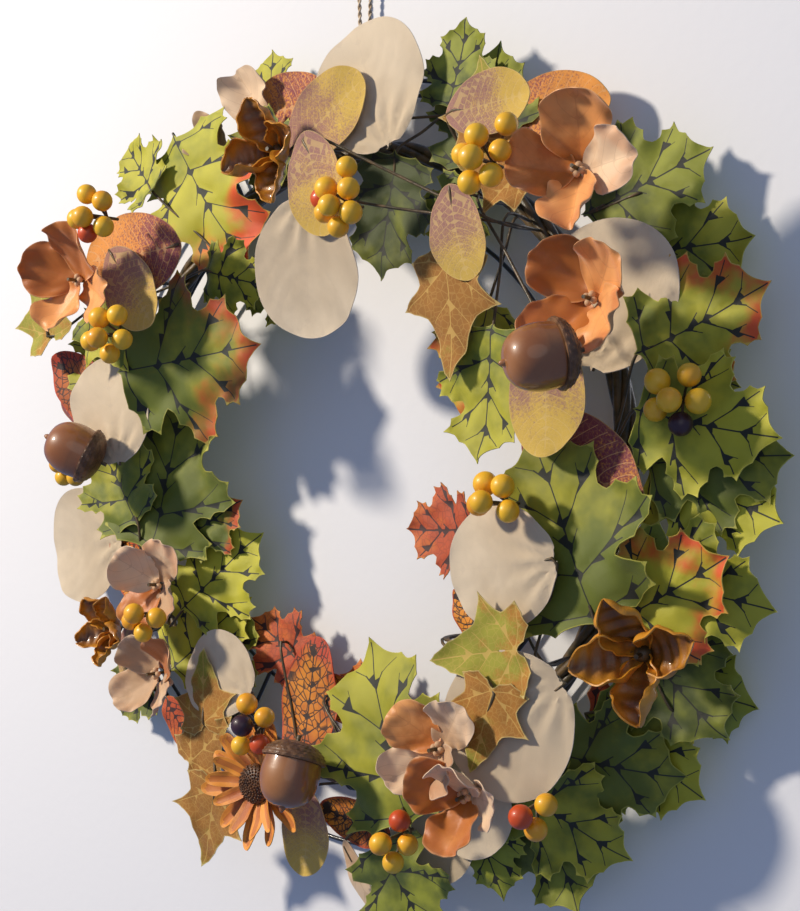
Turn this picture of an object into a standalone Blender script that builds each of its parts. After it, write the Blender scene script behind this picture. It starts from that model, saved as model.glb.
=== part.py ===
"""Harvest door wreath: wired picks of fabric leaves, berries, acorns, pods and blooms on a welded wire ring.

The wreath hangs in the XZ plane with its front towards -Y. The origin is the point of the hook that the twine
loop hangs on. Places on the ring are clock angles in degrees (0 at the top, clockwise from the front) and radii
from the ring's centre. Every pick is laid in order, from the back to the front, and comes to rest a clear gap in
front of whatever it covers.
"""

import math

import bmesh
import bpy
import numpy as np
from mathutils import Matrix, Vector

# Hanger and frame, in metres.
INNER_RING_RADIUS = 0.140
MIDDLE_RING_RADIUS = 0.172
OUTER_RING_GAP = 0.008
OUTER_RING_RADIUS = 0.212
HANG_LENGTH = 0.073
HANG_DROP = OUTER_RING_RADIUS + HANG_LENGTH
WIRE_RADIUS = 0.0012
WELD_DEPTH = 0.0006
CROSS_WIRE_COUNT = 6
WIRE_SIDES = 4
TWINE_DIAMETER = 0.0024
LOOP_HALF_WIDTH = 0.0047
HITCH_WIDTH = 0.006
HITCH_WALL = 0.0026
HITCH_CLEARANCE = 0.0005

# Garland stem that the picks are tied to.
GARLAND_RADIUS = 0.006
BINDING_WIRE_RADIUS = 0.0007
BINDING_COUNT = 3
TOUCH_GAP = 0.0003

# Picks.
LEAF_THICKNESS = 0.0010
STEM_RADIUS = 0.0011
STEM_OVERLAP = 0.008
GLUED_STEM = 0.006
PETAL_ROOT = 0.0022
PETAL_ROLL = 7.0
WHORL_HUB_RADIUS = 0.0040
REST_GAP = 0.0007
DOME_LEAN = 12.0
DOME_REACH = 0.070
BERRY_RADIUS = 0.0057
ACORN_RADIUS = 0.0155
ACORN_LENGTH = 0.027
ACORN_CAP_HEIGHT = 0.010
DAISY_EYE_RADIUS = 0.011

# Colours, as linear red, green and blue.
GREEN = (0.30, 0.36, 0.06)
OLIVE = (0.42, 0.30, 0.06)
CREAM = (0.72, 0.63, 0.50)
MAUVE_YELLOW = (0.72, 0.52, 0.24)
PLUM = (0.38, 0.10, 0.12)
AMBER = (0.66, 0.24, 0.03)
PEACH = (0.74, 0.33, 0.12)
GOLD = (0.60, 0.28, 0.04)
BERRY_YELLOW = (0.90, 0.42, 0.03)
NUT_BROWN = (0.30, 0.11, 0.03)
CAP_BROWN = (0.16, 0.08, 0.04)
STEM_BROWN = (0.20, 0.12, 0.06)
WIRE_BLACK = (0.02, 0.02, 0.02)
TWINE_TAN = (0.55, 0.42, 0.26)

# An hour is a place on the wreath's face, read as on a clock, or the way that a tip points.
HOUR = 30.0

# Lanes that picks are seated in, from the hole outward.
RIM = INNER_RING_RADIUS - 0.022
INNER = INNER_RING_RADIUS
MIDDLE = MIDDLE_RING_RADIUS
OUTER = OUTER_RING_RADIUS - 0.014
EDGE = OUTER_RING_RADIUS + 0.010

# Stock lengths that each kind of leaf and petal is cut in.
LEAF_SIZES = {
    "oak": {"small": 0.048, "medium": 0.070, "large": 0.100},
    "ivy": {"small": 0.044, "medium": 0.052, "large": 0.058},
    "round": {"small": 0.052, "medium": 0.064, "large": 0.074},
    "oval": {"small": 0.048, "medium": 0.055, "large": 0.062},
    "amber": {"small": 0.046, "medium": 0.054, "large": 0.076},
    "plum": {"small": 0.056, "medium": 0.066, "large": 0.076},
    "petal": {"small": 0.028, "medium": 0.034},
    "narrow": {"small": 0.044},
}

# Florets: hour and lane of the centre, petal size, turn. Each has four petals.
FLORET_PETALS = 4
FLORET_RISE = 24.0
FLORET_PICKS = {
    "hydrangea_right": (PEACH, ((2.25, OUTER, "medium", 20), (1.75, EDGE, "medium", 50))),
    "hydrangea_upper_left": (PEACH, ((10.25, MIDDLE, "medium", 10),)),
    "hydrangea_lower_left": (PEACH, ((7.5, MIDDLE, "small", 0), (8, INNER, "small", 30))),
    "hydrangea_bottom": (CREAM, ((4.75, OUTER, "small", 45), (4.75, MIDDLE, "small", 10))),
}

# Dried pods: hour and lane of the centre, husk length, turn, husk count.
HUSK_RISE = 30.0
POD_PICKS = {
    "pod_upper_left": (11.75, MIDDLE, 0.028, 15, 4),
    "pod_right": (3.75, EDGE, 0.030, 40, 4),
    "pod_left": (8, OUTER, 0.022, 0, 5),
}

# Berry clusters on each pick: hour and lane of the centre, count.
BERRY_PICKS = {
    "berries_top": ((0.75, INNER, 8),),
    "berries_upper_right": ((1.5, OUTER, 7),),
    "berries_right": ((2.75, EDGE, 6),),
    "berries_inner_right": ((3.25, INNER, 5),),
    "berries_bottom_right": ((4.5, EDGE, 3),),
    "berries_bottom": ((5.25, OUTER, 4),),
    "berries_lower_middle": ((6.25, INNER, 5),),
    "berries_lower_left": ((7.75, INNER, 4),),
    "berries_far_left": ((9, EDGE, 4),),
    "berries_left": ((10.25, RIM, 6), (10.75, MIDDLE, 6)),
}
BERRY_RING_RADIUS = 0.0106
BERRY_OUTER_RADIUS = 0.0178
BERRY_HEIGHTS = (0.019, 0.011, 0.005)

# Acorns: hour and lane of the cap end, hour that the nut points to, rise.
ACORN_PICKS = {
    "right": (2.5, OUTER, 8.5, 45),
    "left": (9, INNER, 10, 30),
    "bottom": (5.75, INNER, 6, 15),
}

DAISY_PLACE = (6.25, MIDDLE)
DAISY_RAY_LENGTH = 0.034
DAISY_RAYS = 11
DAISY_RISE = 14.0

# The grid on which picks are laid over one another.
CELL = 0.0010
GRID_HALF_WIDTH = OUTER_RING_RADIUS + 0.088
REAR_LIMIT = 0.0045

# Half outlines from base to tip, as shares of the length: (across, along).
OAK_OUTLINE = (
    (0.05, 0.04), (0.36, 0.08), (0.39, 0.20), (0.27, 0.28), (0.50, 0.46), (0.45, 0.60), (0.28, 0.60),
    (0.30, 0.80), (0.14, 0.86),
)
IVY_OUTLINE = ((0.24, -0.12), (0.44, -0.02), (0.36, 0.18), (0.56, 0.38), (0.27, 0.48), (0.14, 0.78))
ROUND_WIDTH = 0.96
OVAL_WIDTH = 0.66
PLUM_WIDTH = 0.62
AMBER_WIDTH = 0.50
PETAL_WIDTH = 0.86
NARROW_WIDTH = 0.26
HUSK_WIDTH = 0.56
RAY_WIDTH = 0.26

# Each pick: hour of its post, colour, then its leaves: kind, hour and lane of the base,
# hour that the tip points to, size.
LEAF_PICKS = {
    "oak_spray_top": (1, GREEN, (
        ("oak", 1, MIDDLE, 12.25, "medium"), ("oak", 1, MIDDLE, 7, "small"),
        ("oak", 11.5, OUTER, 11.75, "small"), ("oak", 12.75, OUTER, 12.25, "small"),
        ("oak", 12.5, MIDDLE, 6.5, "medium"),
    )),
    "plum_spray_top": (11.75, PLUM, (
        ("plum", 12, OUTER, 9, "medium"), ("petal", 11.5, OUTER, 11.25, "medium"),
        ("petal", 11.25, OUTER, 9.75, "small"), ("oak", 11.75, MIDDLE, 9.5, "small"),
    )),
    "oak_spray_upper_left": (11, GREEN, (
        ("oak", 11, INNER, 5, "small"), ("oak", 11, EDGE, 5, "large"),
        ("oak", 10.75, OUTER, 10.5, "small"),
    )),
    "oak_spray_upper_right": (1.75, GREEN, (
        ("plum", 1, OUTER, 2.75, "medium"), ("oak", 2, OUTER, 2.75, "medium"),
        ("oak", 2.25, OUTER, 3, "small"), ("oak", 2.5, OUTER, 3.5, "small"),
        ("oak", 1.75, OUTER, 2.25, "medium"),
    )),
    "cream_spray_right": (2.25, CREAM, (
        ("round", 2.5, MIDDLE, 12.5, "large"), ("amber", 2.25, INNER, 2, "small"),
    )),
    "oak_spray_right": (3, GREEN, (
        ("oak", 2.5, OUTER, 2.25, "medium"), ("oak", 3, OUTER, 3.75, "medium"),
        ("oak", 3, OUTER, 2.75, "medium"), ("oak", 2.75, OUTER, 3.5, "medium"),
    )),
    "oak_spray_lower_right": (4, GREEN, (
        ("oak", 4, OUTER, 3.25, "medium"), ("oak", 4.25, OUTER, 3, "small"),
        ("oak", 4.25, OUTER, 4, "medium"), ("oak", 3.75, OUTER, 4.75, "medium"),
    )),
    "oak_spray_bottom_right": (4.75, GREEN, (
        ("oak", 4.75, OUTER, 5, "medium"), ("oak", 4.5, OUTER, 3.25, "medium"),
        ("oak", 4.75, OUTER, 4, "medium"), ("oak", 5, OUTER, 5.5, "small"),
    )),
    "plum_spray_right": (2.75, PLUM, (
        ("amber", 2.75, INNER, 5.75, "small"), ("plum", 2.75, INNER, 4, "large"),
    )),
    "oak_spray_right_big": (3.5, GREEN, (
        ("oak", 3.5, OUTER, 3.25, "medium"), ("oak", 3.75, OUTER, 2, "medium"),
        ("oak", 3.75, OUTER, 11.25, "large"),
    )),
    "cream_spray_inner_right": (3.5, CREAM, (
        ("oak", 3.5, RIM, 8.75, "small"), ("round", 3.5, MIDDLE, 8.75, "medium"),
    )),
    "oak_spray_inner_right": (1.75, GREEN, (
        ("oak", 1.75, INNER, 6.75, "medium"), ("oak", 2, INNER, 6.25, "medium"),
    )),
    "cream_spray_bottom": (5.25, CREAM, (
        ("round", 5, OUTER, 7.75, "small"), ("amber", 5.5, OUTER, 9.25, "small"),
        ("round", 5, MIDDLE, 4.75, "small"), ("narrow", 5.75, OUTER, 5.5, "small"),
        ("oval", 6, MIDDLE, 6, "small"),
    )),
    "oak_spray_bottom": (5.5, GREEN, (
        ("oak", 5.5, INNER, 9.75, "small"), ("amber", 5.75, INNER, 10, "small"),
        ("oak", 5.5, OUTER, 5, "medium"), ("oak", 5.25, OUTER, 11.25, "large"),
    )),
    "amber_spray_bottom": (6.25, AMBER, (
        ("oak", 6.5, RIM, 10.25, "small"), ("amber", 6.25, MIDDLE, 12, "large"),
    )),
    "oak_spray_lower_left": (7.75, GREEN, (
        ("oak", 7.25, MIDDLE, 1, "medium"), ("oak", 7.5, MIDDLE, 1.5, "medium"),
        ("oak", 7.75, INNER, 1.5, "medium"),
    )),
    "amber_spray_lower_left": (8, AMBER, (
        ("oak", 7.75, OUTER, 7.25, "small"), ("amber", 7.5, OUTER, 4.75, "small"),
        ("oval", 8, OUTER, 5.5, "small"),
    )),
    "ivy_spray_bottom_left": (7, OLIVE, (
        ("round", 6.75, INNER, 9.75, "small"), ("ivy", 7, OUTER, 1.75, "small"),
        ("ivy", 7, MIDDLE, 11.75, "small"), ("ivy", 6.75, OUTER, 6.5, "medium"),
    )),
    "cream_spray_left": (8.5, CREAM, (
        ("amber", 8, MIDDLE, 11, "medium"), ("round", 8.5, MIDDLE, 8.75, "large"),
    )),
    "oak_spray_left_inner": (8.25, GREEN, (
        ("oak", 8.25, RIM, 1.75, "small"), ("oak", 8.25, INNER, 12.5, "large"),
        ("oak", 8.5, INNER, 11, "medium"),
    )),
    "amber_spray_left": (9.25, AMBER, (
        ("plum", 9.25, MIDDLE, 10.75, "small"), ("oak", 9.5, INNER, 11, "medium"),
        ("amber", 9.25, INNER, 10.25, "large"), ("round", 9, INNER, 11.75, "medium"),
    )),
    "oak_spray_left_upper": (10, GREEN, (
        ("oak", 10.75, INNER, 3.5, "small"), ("oak", 9.75, INNER, 2.75, "large"),
        ("ivy", 10, MIDDLE, 4.5, "small"),
    )),
    "ivy_spray_left": (10.25, OLIVE, (
        ("ivy", 9.75, OUTER, 11.25, "medium"), ("plum", 11, INNER, 8.75, "large"),
        ("oval", 10.5, MIDDLE, 4.75, "medium"),
    )),
    "ivy_spray_right": (1.25, OLIVE, (
        ("ivy", 1.5, OUTER, 9.5, "small"), ("ivy", 1.25, OUTER, 11.75, "small"),
        ("ivy", 1.5, INNER, 6, "large"),
    )),
    "ivy_spray_lower_right": (4.25, OLIVE, (
        ("amber", 4.5, INNER, 10.5, "small"), ("round", 4, OUTER, 7.75, "large"),
        ("ivy", 4, MIDDLE, 8.75, "medium"), ("ivy", 4.25, MIDDLE, 6.5, "small"),
    )),
    "oval_spray_right": (1.25, MAUVE_YELLOW, (
        ("oval", 1, OUTER, 2.75, "small"), ("oval", 1.25, MIDDLE, 5.75, "small"),
        ("oval", 2.25, MIDDLE, 5.75, "large"),
    )),
    "cream_spray_top": (12.25, CREAM, (
        ("round", 12.5, MIDDLE, 11.25, "large"), ("oval", 11.75, MIDDLE, 2, "large"),
    )),
    "cream_spray_inner_top": (12.25, CREAM, (
        ("round", 12.25, INNER, 6.25, "large"), ("oval", 12.25, MIDDLE, 5.5, "medium"),
    )),
}


def clear_scene():
    for old in list(bpy.data.objects):
        bpy.data.objects.remove(old, do_unlink=True)


def finish(name, colour, roughness, metallic=0.0):
    material = bpy.data.materials.new(name)
    material.use_nodes = True
    shader = material.node_tree.nodes["Principled BSDF"]
    shader.inputs["Base Color"].default_value = (*colour, 1.0)
    shader.inputs["Roughness"].default_value = roughness
    shader.inputs["Metallic"].default_value = metallic
    return material


def on_ring(clock, radius, lift=0.0):
    """The point at a clock angle, a radius and a height in front of the frame."""
    angle = math.radians(clock)
    return Vector((radius * math.sin(angle), -lift, radius * math.cos(angle) - HANG_DROP))


def direction(heading):
    angle = math.radians(heading)
    return Vector((math.sin(angle), 0.0, math.cos(angle)))


# Meshes as (points, faces) in world space, before they are laid.


def tube(route, radius, sides, closed=False):
    """A square or round tube along a route; its section keeps one side towards -Y."""
    points, faces = [], []
    count = len(route)
    for index, centre in enumerate(route):
        before = route[(index - 1) % count] if closed or index else centre
        after = route[(index + 1) % count] if closed or index < count - 1 else centre
        along = (after - before).normalized()
        guide = Vector((0.0, -1.0, 0.0)) if abs(along.y) < 0.9 else Vector((1.0, 0.0, 0.0))
        across = along.cross(guide).normalized()
        outward = across.cross(along)
        for side in range(sides):
            angle = 2 * math.pi * side / sides
            points.append(centre + radius * (math.cos(angle) * across + math.sin(angle) * outward))
    for index in range(count if closed else count - 1):
        here, there = index * sides, (index + 1) % count * sides
        for side in range(sides):
            turn = (side + 1) % sides
            faces.append((here + side, here + turn, there + turn, there + side))
    if not closed:
        faces.append(tuple(reversed(range(sides))))
        faces.append(tuple(range((count - 1) * sides, count * sides)))
    return points, faces


def turned(profile, frame, sides):
    """A solid turned about its frame's Z axis from (radius, height) pairs, bottom first; radius 0 closes it."""
    points, faces, rings = [], [], []
    for radius, height in profile:
        count = 1 if radius == 0 else sides
        ring = []
        for side in range(count):
            angle = 2 * math.pi * side / sides
            ring.append(len(points))
            points.append(frame @ Vector((radius * math.cos(angle), radius * math.sin(angle), height)))
        rings.append(ring)
    for low, high in zip(rings, rings[1:]):
        for side in range(sides):
            turn = (side + 1) % sides
            corner = [low[side % len(low)], low[turn % len(low)], high[turn % len(high)], high[side % len(high)]]
            faces.append(tuple(dict.fromkeys(corner)))
    if len(rings[0]) > 1:
        faces.append(tuple(reversed(rings[0])))
    if len(rings[-1]) > 1:
        faces.append(tuple(rings[-1]))
    return points, faces


def oval_half(width, blunt, steps):
    """Half an egg-shaped outline; a blunt tip is wider beyond the middle."""
    half = []
    for step in range(1, steps):
        turn = math.pi * step / steps
        across = 0.5 * width * math.sin(turn) * (1.0 + blunt * (0.5 - 0.5 * math.cos(turn) - 0.5))
        half.append((across, 0.5 - 0.5 * math.cos(turn)))
    return half


def leaf_half(kind):
    widths = {
        "round": (ROUND_WIDTH, 0.15, 7),
        "oval": (OVAL_WIDTH, 0.25, 5),
        "plum": (PLUM_WIDTH, 0.0, 5),
        "amber": (AMBER_WIDTH, -0.15, 5),
        "petal": (PETAL_WIDTH, 0.5, 4),
        "narrow": (NARROW_WIDTH, 0.0, 3),
        "husk": (HUSK_WIDTH, 0.0, 3),
        "ray": (RAY_WIDTH, 0.4, 2),
    }
    outlines = {"oak": OAK_OUTLINE, "ivy": IVY_OUTLINE}
    return outlines.get(kind) or oval_half(*widths[kind])


def relief(kind, across, along):
    """How far the leaf's surface stands in front of its base plane, as a share of its length."""
    droop = {"petal": -0.10, "husk": -0.20}.get(kind, 0.03)
    fold = {"petal": -0.15, "husk": -0.60}.get(kind, 0.03)
    return -droop * along * along - fold * abs(across)


def leaf_frame(clock, radius, heading, length, rise):
    """Base point, and the leaf's own X across, Y along and Z to the front, leaned over the wreath's round section."""
    base = on_ring(clock, radius)
    along = direction(heading)
    front = Vector((0.0, -1.0, 0.0))
    across = along.cross(front)
    turn = Matrix.Rotation(math.radians(rise), 3, across)
    middle = base + 0.5 * length * along + Vector((0.0, 0.0, HANG_DROP))
    outward = middle.normalized()
    share = max(-1.0, min(1.0, (middle.length - MIDDLE_RING_RADIUS) / DOME_REACH))
    lean = Matrix.Rotation(math.radians(DOME_LEAN * share), 3, front.cross(outward))
    axes = lean @ turn @ Matrix((across, along, front)).transposed()
    return Matrix.Translation(base) @ axes.to_4x4()


def leaf(kind, frame, length):
    """A folded plate of one thickness, its two halves meeting along the midrib."""
    half = leaf_half(kind)
    shape = bmesh.new()
    rib = [(0.0, 0.0), (0.0, 0.5), (0.0, 1.0)]
    rib_points = [shape.verts.new((x * length, y * length, 0.0)) for x, y in rib]
    for side in (1, -1):
        edge = [shape.verts.new((side * x * length, y * length, 0.0)) for x, y in half]
        shape.faces.new([*rib_points, *reversed(edge)][::side])
    bmesh.ops.triangulate(shape, faces=shape.faces)
    for point in shape.verts:
        point.co.z = length * relief(kind, point.co.x / length, point.co.y / length)
    front = bmesh.ops.extrude_face_region(shape, geom=shape.faces)
    moved = [item for item in front["geom"] if isinstance(item, bmesh.types.BMVert)]
    bmesh.ops.translate(shape, verts=moved, vec=(0.0, 0.0, -LEAF_THICKNESS))
    bmesh.ops.recalc_face_normals(shape, faces=shape.faces)
    shape.verts.index_update()
    points = [frame @ point.co for point in shape.verts]
    faces = [tuple(point.index for point in face.verts) for face in shape.faces]
    shape.free()
    return points, faces


def samples(points, faces):
    """Points spread over the faces, closer together than the grid's cells."""
    spread = []
    corners = np.array([tuple(point) for point in points])
    for face in faces:
        for second in range(1, len(face) - 1):
            a, b, c = corners[face[0]], corners[face[second]], corners[face[second + 1]]
            longest = max(np.linalg.norm(b - a), np.linalg.norm(c - b), np.linalg.norm(a - c))
            steps = max(1, math.ceil(longest / (0.8 * CELL)))
            u, v = np.meshgrid(np.arange(steps + 1) / steps, np.arange(steps + 1) / steps)
            inside = u + v <= 1.0001
            u, v = u[inside][:, None], v[inside][:, None]
            spread.append(a + u * (b - a) + v * (c - a))
    return np.concatenate(spread)


class Stack:
    """The foremost height that has been laid over each cell of the wreath's plane."""

    def __init__(self):
        self.size = int(2 * GRID_HALF_WIDTH / CELL)
        self.height = np.full((self.size, self.size), REAR_LIMIT)
        self.leafy = np.zeros((self.size, self.size), bool)

    def cells(self, spread):
        column = ((spread[:, 0] + GRID_HALF_WIDTH) / CELL).astype(int)
        row = ((spread[:, 2] + HANG_DROP + GRID_HALF_WIDTH) / CELL).astype(int)
        return column, row

    def rest(self, mesh):
        """The smallest lift at which a mesh clears everything laid so far, and that mesh's cells and heights."""
        spread = samples(*mesh)
        column, row = self.cells(spread)
        near = self.height.copy()
        for down in (-1, 0, 1):
            for right in (-1, 0, 1):
                near = np.maximum(near, np.roll(self.height, (down, right), (0, 1)))
        lift = float((near[column, row] + spread[:, 1]).max()) + REST_GAP
        return lift, column, row, -spread[:, 1]

    def lay(self, column, row, heights, leafy=True):
        np.maximum.at(self.height, (column, row), heights)
        if leafy:
            self.leafy[column, row] = True

    def foot(self, clock):
        """The free place on the garland stem nearest to a clock angle."""
        reach = math.ceil(2.2 * STEM_RADIUS / CELL)
        for step in range(80):
            turned_clock = clock + (0.5 * step if step % 2 else -0.5 * step)
            place = on_ring(turned_clock, MIDDLE_RING_RADIUS)
            column, row = self.cells(np.array([tuple(place)]))
            block = self.leafy[column[0] - reach:column[0] + reach + 1, row[0] - reach:row[0] + reach + 1]
            if not block.any():
                return place
        return place


def moved(mesh, lift):
    points, faces = mesh
    return [point - Vector((0.0, lift, 0.0)) for point in points], faces


def mesh_object(name, points, faces, material):
    mesh = bpy.data.meshes.new(name)
    mesh.from_pydata([tuple(point) for point in points], [], faces)
    mesh.materials.append(material)
    mesh.validate()
    cleaned = bmesh.new()
    cleaned.from_mesh(mesh)
    bmesh.ops.recalc_face_normals(cleaned, faces=cleaned.faces)
    cleaned.to_mesh(mesh)
    cleaned.free()
    built = bpy.data.objects.new(name, mesh)
    bpy.context.scene.collection.objects.link(built)
    return built


def unite(name, meshes, material, smooth=False):
    """One solid from meshes that run into each other."""
    whole = mesh_object(name, *meshes[0], material)
    for number, mesh in enumerate(meshes[1:]):
        piece = mesh_object(f"{name}_piece_{number}", *mesh, material)
        union = whole.modifiers.new("Union", "BOOLEAN")
        union.operation = "UNION"
        union.solver = "MANIFOLD"
        union.object = piece
        graph = bpy.context.evaluated_depsgraph_get()
        joined = bpy.data.meshes.new_from_object(whole.evaluated_get(graph))
        whole.modifiers.clear()
        whole.data = joined
        bpy.data.objects.remove(piece, do_unlink=True)
    whole.data.name = name
    if smooth:
        whole.data.shade_smooth()
    return whole


def garland_front():
    return garland_lift() + GARLAND_RADIUS


def garland_lift():
    """Height of the garland stem's middle: it lies on the cross wires, which lie on the rings."""
    return 2 * WIRE_RADIUS - WELD_DEPTH + WIRE_RADIUS + TOUCH_GAP + GARLAND_RADIUS


def post(foot, lift):
    """The part of a pick's stem that stands on the garland stem."""
    start = Vector((foot.x, -(garland_front() + TOUCH_GAP), foot.z))
    end = Vector((foot.x, -(lift + STEM_RADIUS), foot.z))
    return tube([start, end], 1.2 * STEM_RADIUS, 4)


def petiole(foot, base, onward):
    """The stem from above the foot to a member's base and a little way on into it."""
    start = Vector((foot.x, base.y, foot.z))
    route = [start, base, base + STEM_OVERLAP * onward]
    if (base - start).length < 2.5 * STEM_RADIUS:
        route = [start, start + STEM_OVERLAP * onward]
    elif (base - start).normalized().dot(onward) < -0.8:
        route = [start, base + STEM_OVERLAP * onward]
    return tube(route, STEM_RADIUS, 3)


def tail(base, onward):
    """The short cut stem of a piece that is glued to the leaves under it."""
    return tube([base - 0.5 * GLUED_STEM * onward, base + 0.5 * GLUED_STEM * onward], STEM_RADIUS, 4)


def lay_pick(stack, name, clock, material, members, others=()):
    """Members on one stem, each laid over what is there. A clock angle is where its post stands on the garland.

    A member is (meshes, base, onward). The others are named solids that ride in front of the last member. A
    piece with no clock angle has no post: it is glued where it rests.
    """
    foot = None if clock is None else stack.foot(clock)
    united, highest = [], 0.0
    for number, (meshes, base, onward) in enumerate(members):
        own = [petiole(foot, base, onward) if foot else tail(base, onward), *meshes]
        carried = [mesh for _, mesh, _ in others] if number == len(members) - 1 else []
        rested = [stack.rest(mesh) for mesh in own + carried]
        lift = max(item[0] for item in rested)
        for _, column, row, heights in rested:
            stack.lay(column, row, heights + lift)
        united += [moved(mesh, lift) for mesh in own]
        highest = max(highest, lift - base.y)
    if foot:
        united.insert(0, post(foot, highest))
    unite(name, united, material)
    for other_name, mesh, other_material in others:
        unite(other_name, [moved(mesh, lift)], other_material, smooth=True)


def axis_of(frame, axis):
    return frame.to_3x3().col[axis].normalized()


def leaf_members(leaves):
    members = []
    for kind, hour, lane, tip_hour, size in leaves:
        length = LEAF_SIZES[kind][size]
        frame = leaf_frame(HOUR * hour, lane, HOUR * tip_hour, length, 0.0)
        members.append(([leaf(kind, frame, length)], frame.translation, axis_of(frame, 1)))
    return members


def whorl(kind, clock, radius, length, turn, count, rise):
    """One member: equal petals, each raised by the same angle, that grow out of a small round hub."""
    centre = leaf_frame(clock, radius, clock, 0.0, 0.0)
    hub = [(WHORL_HUB_RADIUS * math.sin(math.pi * s / 4), -WHORL_HUB_RADIUS * math.cos(math.pi * s / 4))
           for s in range(1, 4)]
    hub = [(0.0, -WHORL_HUB_RADIUS), *hub, (0.0, WHORL_HUB_RADIUS)]
    off_line = Matrix.Rotation(math.radians(turn + 11.0), 4, "Z")
    petals = [turned(hub, centre @ off_line, 7)]
    for number in range(count):
        spin = Matrix.Rotation(math.radians(turn + 360.0 * number / count), 4, "Z")
        tip_up = Matrix.Rotation(math.radians(rise), 4, "X") @ Matrix.Rotation(math.radians(PETAL_ROLL), 4, "Y")
        petals.append(leaf(kind, centre @ spin @ tip_up @ Matrix.Translation((0.0, PETAL_ROOT, 0.0)), length))
    return petals, centre.translation, axis_of(centre, 2) * 0.4


def berry_offsets(count):
    """Places in a cluster: one in front, five round it, then the rest further out and lower."""
    places = [Vector((0.0, 0.0, BERRY_HEIGHTS[0]))]
    for number in range(1, count):
        inner = number <= 5
        reach = BERRY_RING_RADIUS if inner else BERRY_OUTER_RADIUS
        angle = math.radians(72 * number + (0 if inner else 36))
        height = BERRY_HEIGHTS[1] if inner else BERRY_HEIGHTS[2]
        places.append(Vector((reach * math.cos(angle), reach * math.sin(angle), height)))
    return places


def berry(frame, place):
    """A round berry that tapers back to the cluster's root."""
    reach = place.length
    stand = frame @ place.to_track_quat("Z", "Y").to_matrix().to_4x4()
    profile = [(0.0, 0.0)]
    for step in range(1, 4):
        turn = math.pi * step / 4
        profile.append((BERRY_RADIUS * math.sin(turn), reach - BERRY_RADIUS * math.cos(turn)))
    profile.append((0.0, reach + BERRY_RADIUS))
    return turned(profile, stand, 6)


def cluster(hour, lane, count):
    frame = leaf_frame(HOUR * hour, lane, HOUR * hour, 0.0, 0.0)
    meshes = [berry(frame, place) for place in berry_offsets(count)]
    return meshes, frame.translation, axis_of(frame, 2) * 0.5


def joined(members):
    """Several members as one, with a stem from each root to the next."""
    meshes = [mesh for member in members for mesh in member[0]]
    roots = [member[1] for member in members]
    for near, far in zip(roots, roots[1:]):
        onward = (far - near).normalized()
        meshes.append(tube([near - 2 * STEM_RADIUS * onward, far + 2 * STEM_RADIUS * onward], STEM_RADIUS, 4))
    meshes += [tail(root, member[2]) for root, member in zip(roots[1:], members[1:])]
    return meshes, roots[0], members[0][2]


def lay_acorn(stack, name, hour, lane, tip_hour, rise, cap_finish, nut_finish):
    """The cap is wired to the ring; the nut sits on the cap's mouth."""
    frame = leaf_frame(HOUR * hour, lane, HOUR * tip_hour, 0.0, rise) @ Matrix.Rotation(-0.5 * math.pi, 4, "X")
    stalk = 0.003
    mouth = stalk + ACORN_CAP_HEIGHT
    cap_radius = ACORN_RADIUS + 0.001
    cap = [(STEM_RADIUS, 0.0), (STEM_RADIUS, stalk)]
    cap += [(cap_radius * math.sin(0.5 * math.pi * s / 4), mouth - ACORN_CAP_HEIGHT * math.cos(0.5 * math.pi * s / 4))
            for s in range(1, 5)]
    nut = [(0.96 * ACORN_RADIUS, mouth + TOUCH_GAP)]
    nut += [(ACORN_RADIUS * math.cos(0.5 * math.pi * s / 5) ** 0.7,
             mouth + ACORN_LENGTH * (0.25 + 0.65 * math.sin(0.5 * math.pi * s / 5))) for s in range(5)]
    nut += [(0.0012, mouth + 0.93 * ACORN_LENGTH), (0.0, mouth + ACORN_LENGTH)]
    members = [([turned(cap, frame, 10)], frame.translation, axis_of(frame, 2) * 0.2)]
    others = [("acorn_nut_" + name, turned(nut, frame, 10), nut_finish)]
    lay_pick(stack, "acorn_cap_" + name, None, cap_finish, members, others)


def lay_daisy(stack, petals_finish, eye_finish):
    hour, lane = DAISY_PLACE
    rays = whorl("ray", HOUR * hour, lane, DAISY_RAY_LENGTH, 0.0, DAISY_RAYS, DAISY_RISE)
    centre = leaf_frame(HOUR * hour, lane, HOUR * hour, 0.0, 0.0)
    floor = DAISY_EYE_RADIUS * math.tan(math.radians(DAISY_RISE)) + LEAF_THICKNESS + TOUCH_GAP
    eye = [(DAISY_EYE_RADIUS * math.cos(0.5 * math.pi * s / 4), floor + 0.6 * DAISY_EYE_RADIUS * s / 4)
           for s in range(4)] + [(0.0, floor + 0.6 * DAISY_EYE_RADIUS)]
    lay_pick(stack, "daisy_petals", None, petals_finish, [rays],
             [("daisy_eye", turned(eye, centre, 10), eye_finish)])


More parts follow.
